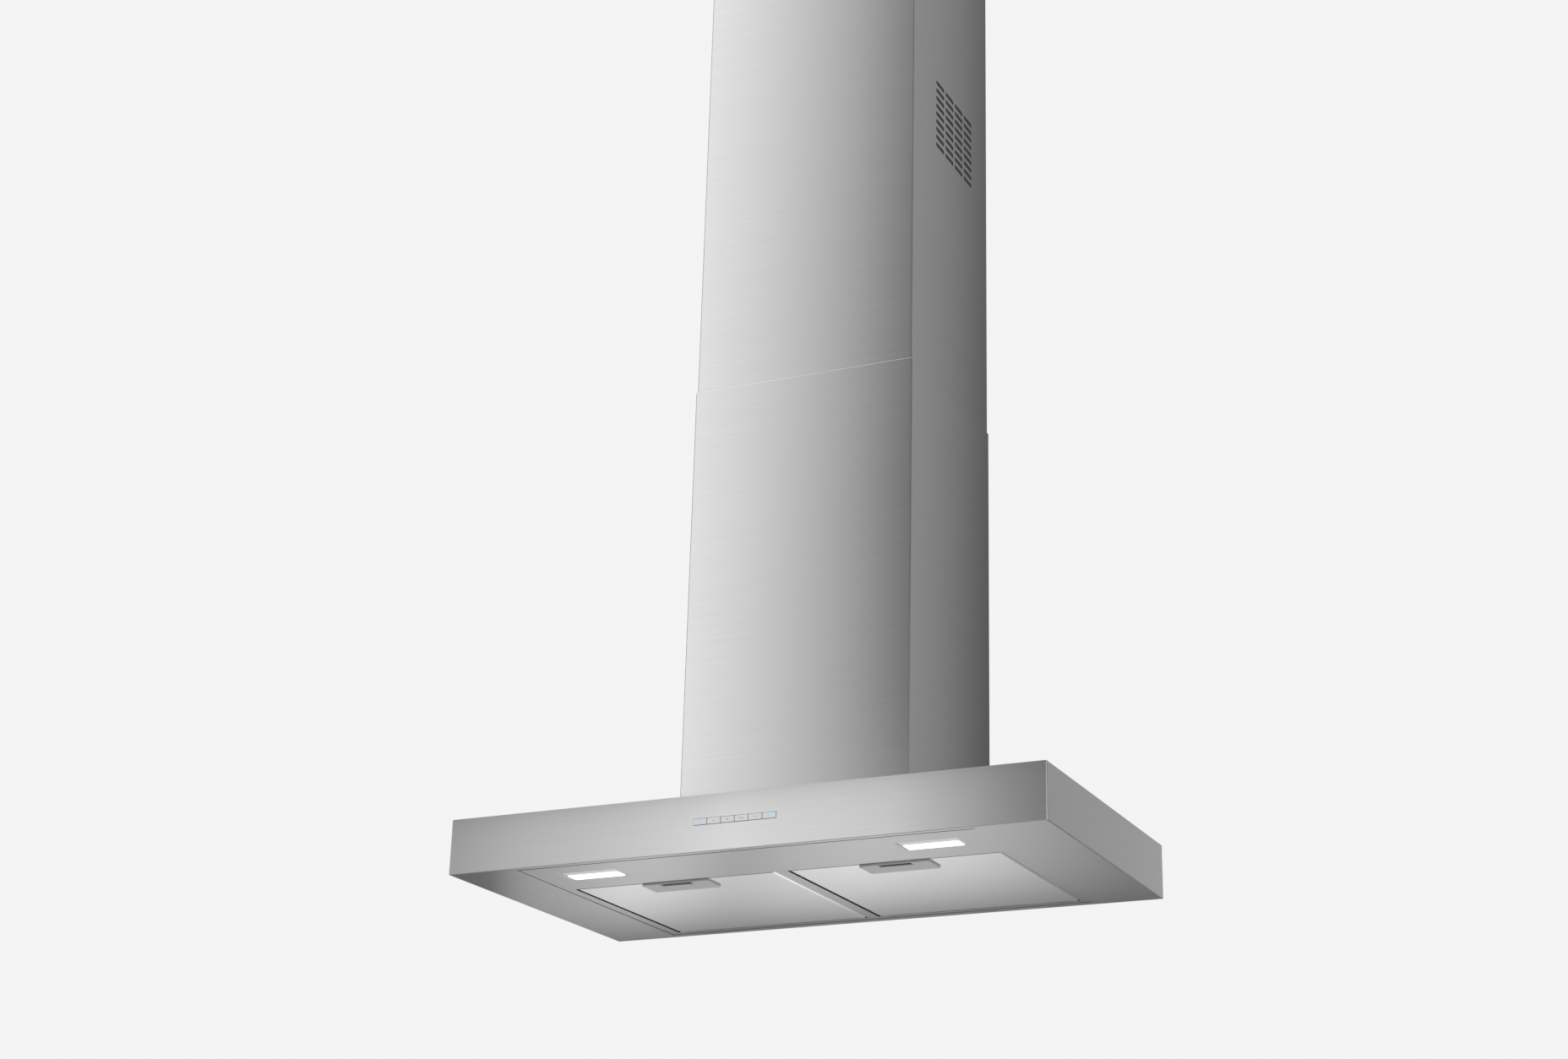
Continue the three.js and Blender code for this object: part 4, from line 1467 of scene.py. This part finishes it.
@dataclass
class Chimney(SubAssembly):
    """The two telescopic chimney pieces with their fixings."""

    return_width: float = 20 * MM
    vent_columns: int = 4
    vent_rows: int = 9
    vent_length: float = 34 * MM
    vent_height: float = 7 * MM
    vent_pitch_y: float = 40 * MM
    vent_pitch_z: float = 14 * MM
    vents_from_wall: float = 148 * MM
    vents_below_top: float = 381 * MM
    top_edge: float = 1.0 * MM
    foot_edge: float = 0.25 * MM
    bracket_edge: float = 0.3 * MM
    # The dark sheets behind the air slots are painted shade for the chimney's shadowed inside.
    screen_gap: float = 1.3 * MM
    screen_thickness: float = 1.2 * MM
    screen_margin: float = 14 * MM
    screen_corner: float = 4 * MM
    screw_shank: float = 2.4 * MM
    screw_head: float = 2.4 * MM
    recess_radius: float = 2.0 * MM
    recess_depth: float = 1.1 * MM
    thread_start: float = 3.2 * MM
    thread_pitch: float = 0.8 * MM
    thread_depth: float = 0.35 * MM

    def build(self) -> None:
        """Build the chimney's pieces."""
        self.build_lower()
        upper_span = Span.of("upper_chimney")
        upper = FoldedChannel(upper_span, self.return_width).draft(self.vents(upper_span.high.z))
        piece = upper.finish("upper_chimney_sheet", sharp_angle=25)
        self.place(piece, Slot.BRUSHED_STEEL, "upper_chimney", "upper_chimney")
        for side in Side:
            self.soften(f"chimney_foot_{side.suffix}", Slot.GALVANISED, "hood", self.foot_edge)
            self.build_screw(side)
            self.build_vent_screen(side, upper_span)
        bracket = "chimney_bracket"
        self.soften(bracket, Slot.GALVANISED, BODY_OF[bracket], self.bracket_edge)

    def build_lower(self) -> None:
        """The lower piece, whose upper edge is rounded on the outside."""
        span = Span.of("lower_chimney")
        channel = FoldedChannel(span, self.return_width)
        outside = [outer for outer, _ in channel.stations()]

        def radius(start: Vector, end: Vector) -> float:
            """Radius of an edge: only the outer one at the top is rounded."""
            for point in (start, end):
                away = min((point.xy - station.xy).length for station in outside)
                if abs(point.z - span.high.z) > TOUCHING or away > TOUCHING:
                    return 0.0
            return self.top_edge

        piece = channel.draft().finish("lower_chimney_sheet", bends=radius, sharp_angle=25)
        self.place(piece, Slot.BRUSHED_STEEL, "hood", "lower_chimney")

    def build_vent_screen(self, side: Side, span: Span) -> None:
        """A dark sheet behind the air slots of one side: painted shade for the chimney's shadowed
        inside.

        Args:
            side: which side.
            span: box of the upper chimney.
        """
        reach = (span.high.x - span.low.x) / 2 - self.screen_gap
        depth = sorted((side.value * reach, side.value * (reach - self.screen_thickness)))
        width = self.vent_columns * self.vent_pitch_y + self.screen_margin
        height = self.vent_rows * self.vent_pitch_z + self.screen_margin
        y = centred(-self.vents_from_wall, width)
        z = centred(span.high.z - self.vents_below_top, height)
        draft = Draft()
        draft.plate(Plane.SIDE, rounded_rectangle(y, z, self.screen_corner), (depth[0], depth[1]))
        draft.flatten()
        piece = draft.finish(f"vent_screen_{side.suffix}", bevel=0.2 * MM, segments=2)
        self.place(piece, Slot.DARK_PLASTIC, "upper_chimney")

    def vents(self, top: float) -> list[Outline]:
        """Outlines of the air slots.

        Args:
            top: height of the chimney's upper end.

        Returns:
            The slots in (y, z).
        """
        slots = []
        for column in range(self.vent_columns):
            y = (column - (self.vent_columns - 1) / 2) * self.vent_pitch_y - self.vents_from_wall
            for row in range(self.vent_rows):
                z = (row - (self.vent_rows - 1) / 2) * self.vent_pitch_z
                place = (y, z + top - self.vents_below_top)
                slots.append(slot_outline(place, self.vent_length, self.vent_height))
        return slots

    def build_screw(self, side: Side) -> None:
        """A pan-head screw with a round recess, on the bracket's ear."""
        node = f"bracket_screw_{side.suffix}"
        span = Span.of(node)
        head_end = span.low.x if side is Side.RIGHT else span.high.x
        origin = Vector((head_end, span.centre.y, span.centre.z))
        head, length = (span.high.z - span.low.z) / 2, span.high.x - span.low.x
        lip, shank = 0.1 * MM, self.screw_shank
        floor = lip + self.recess_depth
        profile = [(0, floor), (self.recess_radius - 0.6 * MM, floor), (self.recess_radius, lip)]
        profile += [(head * 0.7, 0.15 * MM), (head * 0.97, 1.1 * MM), (head, 1.8 * MM)]
        profile += [(head, self.screw_head), (shank, self.screw_head)]
        height = self.thread_start
        while height + self.thread_pitch < length:
            root = (shank - self.thread_depth, height + self.thread_pitch / 2)
            profile += [(shank, height), root]
            height += self.thread_pitch
        profile += [(shank - 0.6 * MM, length), (0, length)]
        draft = Draft()
        draft.lathe(profile, origin, Vector((side.value, 0, 0)), 32)
        self.place(draft.finish(f"{node}_turned"), Slot.MOTOR_STEEL, BODY_OF[node], node)


# ---------------------------------------------------------------- fan and electrics


@dataclass
class FanUnit(SubAssembly):
    """The fan chamber with the wheel, motor, collar and flaps."""

    sheet_edge: float = 0.3 * MM
    flap_edge: float = 0.2 * MM
    duct_radius: float = 75 * MM
    collar_wall: float = 1.2 * MM
    collar_bead: float = 2 * MM
    flange: float = 2.4 * MM
    flange_edge: float = 0.5 * MM
    flange_fillet: float = 0.6 * MM

    def build(self) -> None:
        """Build the pieces that show from behind and dress the others."""
        self.soften("fan_chamber", Slot.GALVANISED, "hood", self.sheet_edge)
        self.build_collar()
        for node in ("scroll_left", "scroll_right", "impeller"):
            self.dress(node, Slot.FAN_PLASTIC)
        for node in ("motor", "motor_shaft", "motor_bracket", "flap_pin"):
            self.dress(node, Slot.MOTOR_STEEL)
        for node in ("flap_front", "flap_rear"):
            self.soften(node, Slot.FLAP_PLASTIC, node, self.flap_edge)

    def build_collar(self) -> None:
        """The outlet collar, turned smooth, with its bead and flange."""
        span = Span.of("outlet_collar")
        reach, height = (span.high.x - span.low.x) / 2, span.high.z - span.low.z
        radius, flange, edge = self.duct_radius, self.flange, self.flange_edge
        inside = radius - self.collar_wall
        profile: Outline = [(inside, 0.0), (reach - edge, 0.0), (reach, edge)]
        profile += [(reach, flange - edge), (reach - edge, flange)]
        profile += [(radius + self.flange_fillet, flange), (radius, flange + self.flange_fillet)]
        profile += arc((radius, height - self.collar_bead), self.collar_bead, -90, 90, 8)
        profile += [(inside, height), (inside, 0.0)]
        draft = Draft()
        draft.lathe(profile, span.foot, UPWARDS, 128)
        piece = draft.finish("outlet_collar_turned", sharp_angle=35)
        self.place(piece, Slot.FLAP_PLASTIC, "hood", "outlet_collar")


@dataclass
class Electrics(SubAssembly):
    """Lamp driver, capacitor, terminal box and cable gland."""

    driver_edge: float = 1.5 * MM
    box_edge: float = 0.5 * MM
    gland_edge: float = 0.6 * MM
    can_rim: float = 1.2 * MM
    can_step: float = 0.2 * MM
    tag_height: float = 6 * MM
    tag_width: float = 6.3 * MM
    tag_thickness: float = 0.8 * MM
    tag_offset: float = 4 * MM

    def build(self) -> None:
        """Build the electrical pieces."""
        self.soften("lamp_driver", Slot.DARK_PLASTIC, "hood", self.driver_edge)
        for node in ("terminal_box", "terminal_cover"):
            self.soften(node, Slot.DARK_PLASTIC, "hood", self.box_edge)
        self.soften("cable_gland", Slot.DARK_PLASTIC, "hood", self.gland_edge)
        self.build_capacitor()

    def build_capacitor(self) -> None:
        """The motor's capacitor: a drawn can with a rolled rim and two tags."""
        span = Span.of("capacitor")
        radius = (span.high.x - span.low.x) / 2
        shoulder = span.high.z - span.low.z - self.tag_height
        wall = radius - self.can_step
        profile: Outline = [(0, 0), (radius - 2 * MM, 0), (radius - 0.6 * MM, 0.5 * MM)]
        profile += [(wall, 2 * MM), (wall, shoulder - 2 * MM)]
        profile += arc((radius - self.can_rim, shoulder), self.can_rim, -60, 90, 6)
        profile += [(radius - 3 * MM, shoulder + 0.6 * MM), (0, shoulder + 0.6 * MM)]
        draft = Draft()
        draft.lathe(profile, span.foot, UPWARDS, 64)
        tag_y = centred(span.centre.y, self.tag_width)
        tag_z = (span.high.z - self.tag_height, span.high.z)
        for offset in (-self.tag_offset, self.tag_offset):
            draft.block(centred(span.centre.x + offset, self.tag_thickness), tag_y, tag_z)
        piece = draft.finish("capacitor_can", sharp_angle=40)
        can = self.palette.by_slot[Slot.MOTOR_STEEL]
        self.place(piece, Slot.ALUMINIUM_MESH, "hood", "capacitor", material=can)


# ---------------------------------------------------------------- studio and camera


def tones(places: Sequence[float], levels: Sequence[float]) -> Tones:
    """Pair places along a light card with the radiance there."""
    return tuple(zip(places, levels, strict=True))


@dataclass(frozen=True)
class LightCard:
    """An upright studio light whose brightness changes across its face.

    The camera doesn't see it, and matt surfaces take no light from it. A card shines towards the
    wall or, turned round, towards the room. Its tones are radiances at places along the wall, and
    its fade gives shares of them at shares of its height. It may spare one piece its light.
    """

    name: str
    across: Limits
    rise: Limits
    depth: float
    tones: Tones
    fade: Tones = ((0.0, 1.0), (1.0, 1.0))
    to_wall: bool = True
    spares: str = ""

    def light(self) -> None:
        """Hang the card."""
        data = bpy.data.lights.new(self.name, "AREA")
        data.shape = "RECTANGLE"
        data.size = self.across[1] - self.across[0]
        data.size_y = self.rise[1] - self.rise[0]
        data.energy = math.pi * data.size * data.size_y
        data.use_nodes = True
        recipe = Recipe(data.node_tree)
        face = recipe.add("ShaderNodeNewGeometry").outputs["Parametric"]
        place = recipe.add("ShaderNodeSeparateXYZ", {0: face})
        peak = max(radiance for _, radiance in self.tones)
        stops = []
        for x, radiance in self.tones:
            share = (x - self.across[0]) / data.size
            stops.append((share if self.to_wall else 1 - share, radiance / peak))
        level = recipe.math("MULTIPLY", recipe.grades(place.outputs["X"], stops), peak)
        level = recipe.math("MULTIPLY", level, recipe.grades(place.outputs["Y"], self.fade))
        shine = recipe.add("ShaderNodeEmission", {"Strength": level})
        recipe.add("ShaderNodeOutputLight", {"Surface": shine.outputs[0]})
        card = bpy.data.objects.new(self.name, data)
        card.location = (middle(self.across), self.depth, middle(self.rise))
        card.rotation_euler = (math.radians(90), 0, math.radians(0 if self.to_wall else 180))
        card.visible_camera = False
        card.visible_diffuse = False
        bpy.context.scene.collection.objects.link(card)
        if self.spares:
            unlit = bpy.data.collections.new(f"{self.name}_spares")
            unlit.objects.link(bpy.data.objects[self.spares])
            card.light_linking.receiver_collection = unlit
            unlit.collection_objects[0].light_linking.link_state = "EXCLUDE"


@dataclass(frozen=True)
class Patch:
    """A round part of the surroundings that metal sees as darker or brighter.

    Its tone holds within the inner angle and fades out by the outer one, both in degrees.
    """

    towards: tuple[float, float, float]
    tone: float
    inner: float
    outer: float

    def mask(self, recipe: Recipe, direction: Any) -> Any:
        """How far a direction lies in the patch.

        Args:
            recipe: the world's node tree.
            direction: socket of the direction.

        Returns:
            A socket that is 1 within the inner angle and 0 beyond the outer one.
        """
        towards = Vector(self.towards).normalized()
        inputs = {0: direction, 1: towards}
        facing = recipe.add("ShaderNodeVectorMath", inputs, operation="DOT_PRODUCT")
        edges = (math.cos(math.radians(self.outer)), math.cos(math.radians(self.inner)))
        return recipe.ramp(facing.outputs["Value"], edges, (0.0, 1.0), smooth=True)


@dataclass
class Studio:
    """Plain pale floor, pale surroundings and soft, graded light cards."""

    backdrop: float = 0.9
    fill: float = 0.95
    surroundings: float = 0.55
    floor_drop: float = 6.0
    floor_size: float = 40.0
    floor_thickness: float = 0.02
    patches: tuple[Patch, ...] = (
        Patch((-0.43, -0.80, 0.41), 0.07, 45.0, 68.0),
        Patch((0.75, -0.62, 0.24), 0.05, 30.0, 45.0),
        Patch((0.33, 0.85, 0.41), 0.08, 38.0, 58.0),
        Patch((-0.48, 0.82, -0.30), 0.15, 35.0, 60.0),
        Patch((-0.3, -0.2, -1.0), 0.4, 30.0, 50.0),
        Patch((0.0, 0.0, 1.0), 1.35, 36.0, 44.0),
    )
    cards: tuple[LightCard, ...] = (
        LightCard(
            "chimney_card",
            (-0.37, 0.22),
            (0.05, 2.6),
            -0.45,
            tones(
                (-0.37, -0.312, -0.24, -0.117, 0.005, 0.113, 0.158, 0.22),
                (1.35, 1.3, 1.12, 0.8, 0.47, 0.13, 0.02, 0.0),
            ),
            fade=((0.0, 0.0), (0.014, 1.0), (1.0, 1.0)),
            spares="canopy_box",
        ),
        LightCard(
            "canopy_card",
            (-0.73, 0.62),
            (-0.105, 0.078),
            -0.58,
            tones(
                (-0.73, -0.498, -0.427, -0.354, -0.28, -0.205, -0.128, -0.048),
                (0.3, 0.46, 0.61, 0.72, 0.79, 0.88, 0.99, 1.12),
            )
            + tones(
                (0.03, 0.112, 0.196, 0.28, 0.368, 0.415, 0.62),
                (1.02, 0.97, 0.87, 0.59, 0.31, 0.2, 0.12),
            ),
        ),
        LightCard(
            "left_corner_card",
            (-1.6, -0.88),
            (-0.35, 0.22),
            -0.9,
            tones((-1.6, -0.98, -0.88), (1.4, 1.4, 0.6)),
        ),
        LightCard(
            "corner_card",
            (0.55, 1.4),
            (-0.35, 0.22),
            -0.9,
            tones((0.55, 0.75, 1.4), (0.6, 1.4, 1.4)),
        ),
        LightCard(
            "side_card",
            (0.25, 1.0),
            (-0.15, 2.6),
            0.3,
            tones(
                (0.25, 0.31, 0.36, 0.431, 0.487, 0.56, 0.62, 1.0),
                (0.0, 0.0, 0.12, 0.34, 0.43, 0.41, 0.36, 0.36),
            ),
            to_wall=False,
        ),
        LightCard(
            "filter_card",
            (-0.75, 0.42),
            (-0.6, -0.08),
            0.1,
            tones(
                (-0.75, -0.62, -0.5, -0.42, -0.31, -0.2, -0.08, 0.1, 0.42),
                (0.65, 0.85, 1.22, 1.05, 0.68, 1.05, 1.2, 0.97, 0.15),
            ),
            fade=((0.0, 1.0), (0.62, 1.0), (0.95, 0.0), (1.0, 0.0)),
            to_wall=False,
        ),
    )

    def build(self) -> None:
        """Set up the world, the floor and the lights."""
        bpy.context.scene.view_settings.view_transform = "Standard"
        self.build_world()
        self.build_floor()
        for card in self.cards:
            card.light()
            LOG.info("light %s", card.name)

    def build_world(self) -> None:
        """Pale surroundings whose reflection is darker where graded cards take over."""
        world = bpy.data.worlds.new("studio")
        bpy.context.scene.world = world
        world.use_nodes = True
        recipe = Recipe(world.node_tree)
        direction = recipe.coordinates("Generated")
        rays = recipe.add("ShaderNodeLightPath")
        level: Any = self.surroundings
        for patch in self.patches:
            level = recipe.blend(patch.mask(recipe, direction), level, patch.tone)
        seen_by = rays.outputs
        shiny = recipe.math("MAXIMUM", seen_by["Is Glossy Ray"], seen_by["Is Transmission Ray"])
        unseen = recipe.blend(shiny, self.fill, level)
        seen = recipe.blend(seen_by["Is Camera Ray"], unseen, self.backdrop)
        background = recipe.add("ShaderNodeBackground", {"Strength": seen})
        background.inputs["Color"].default_value = (1.0, 1.0, 1.0, 1.0)
        recipe.add("ShaderNodeOutputWorld", {"Surface": background.outputs[0]})

    def build_floor(self) -> None:
        """A pale floor well below the hood."""
        side = centred(0.0, self.floor_size)
        draft = Draft()
        draft.block(side, side, (-self.floor_drop - self.floor_thickness, -self.floor_drop))
        floor = draft.finish("studio_floor", bevel=2 * MM)
        floor.data.materials.append(PlasterFloor((0.86, 0.86, 0.86), 0.7).material("studio_floor"))
        floor.visible_glossy = False


@dataclass(frozen=True)
class PhotoCamera:
    """The photograph's camera, in the row frame; its angles are in degrees."""

    place: tuple[float, float, float] = (1.51277, -3.50160, -0.84329)
    yaw: float = 23.149
    pitch: float = 20.694
    roll: float = 0.598
    focal_px: float = 2996.44
    centre_px: float = 1056.89
    sensor: float = 36.0

    def build(self) -> None:
        """Create the camera and make it the scene's."""
        data = bpy.data.cameras.new("photo_camera")
        data.sensor_width = self.sensor
        data.lens = self.focal_px / PHOTO_WIDTH_PX * self.sensor
        data.shift_x = (PHOTO_WIDTH_PX / 2 - self.centre_px) / PHOTO_WIDTH_PX
        data.clip_end = 60.0
        camera = bpy.data.objects.new("photo_camera", data)
        turn = Matrix.Rotation(math.radians(self.yaw), 4, "Z")
        lift = Matrix.Rotation(math.radians(90 + self.pitch), 4, "X")
        tilt = Matrix.Rotation(math.radians(self.roll), 4, "Z")
        camera.matrix_world = Matrix.Translation(Vector(self.place)) @ turn @ lift @ tilt
        bpy.context.scene.collection.objects.link(camera)
        bpy.context.scene.camera = camera


def main() -> None:
    """Build the hood's looks and its studio."""
    logging.basicConfig(level=logging.INFO, format="%(name)s: %(message)s")
    PhotoCamera().build()
    palette = Palette()
    Canopy(palette).build()
    for side in Side:
        Lamp(palette, side).build()
        GreaseFilter(palette, side).build()
    ButtonRow(palette).build()
    Chimney(palette).build()
    FanUnit(palette).build()
    Electrics(palette).build()
    Studio().build()


if __name__ == "__main__":
    main()
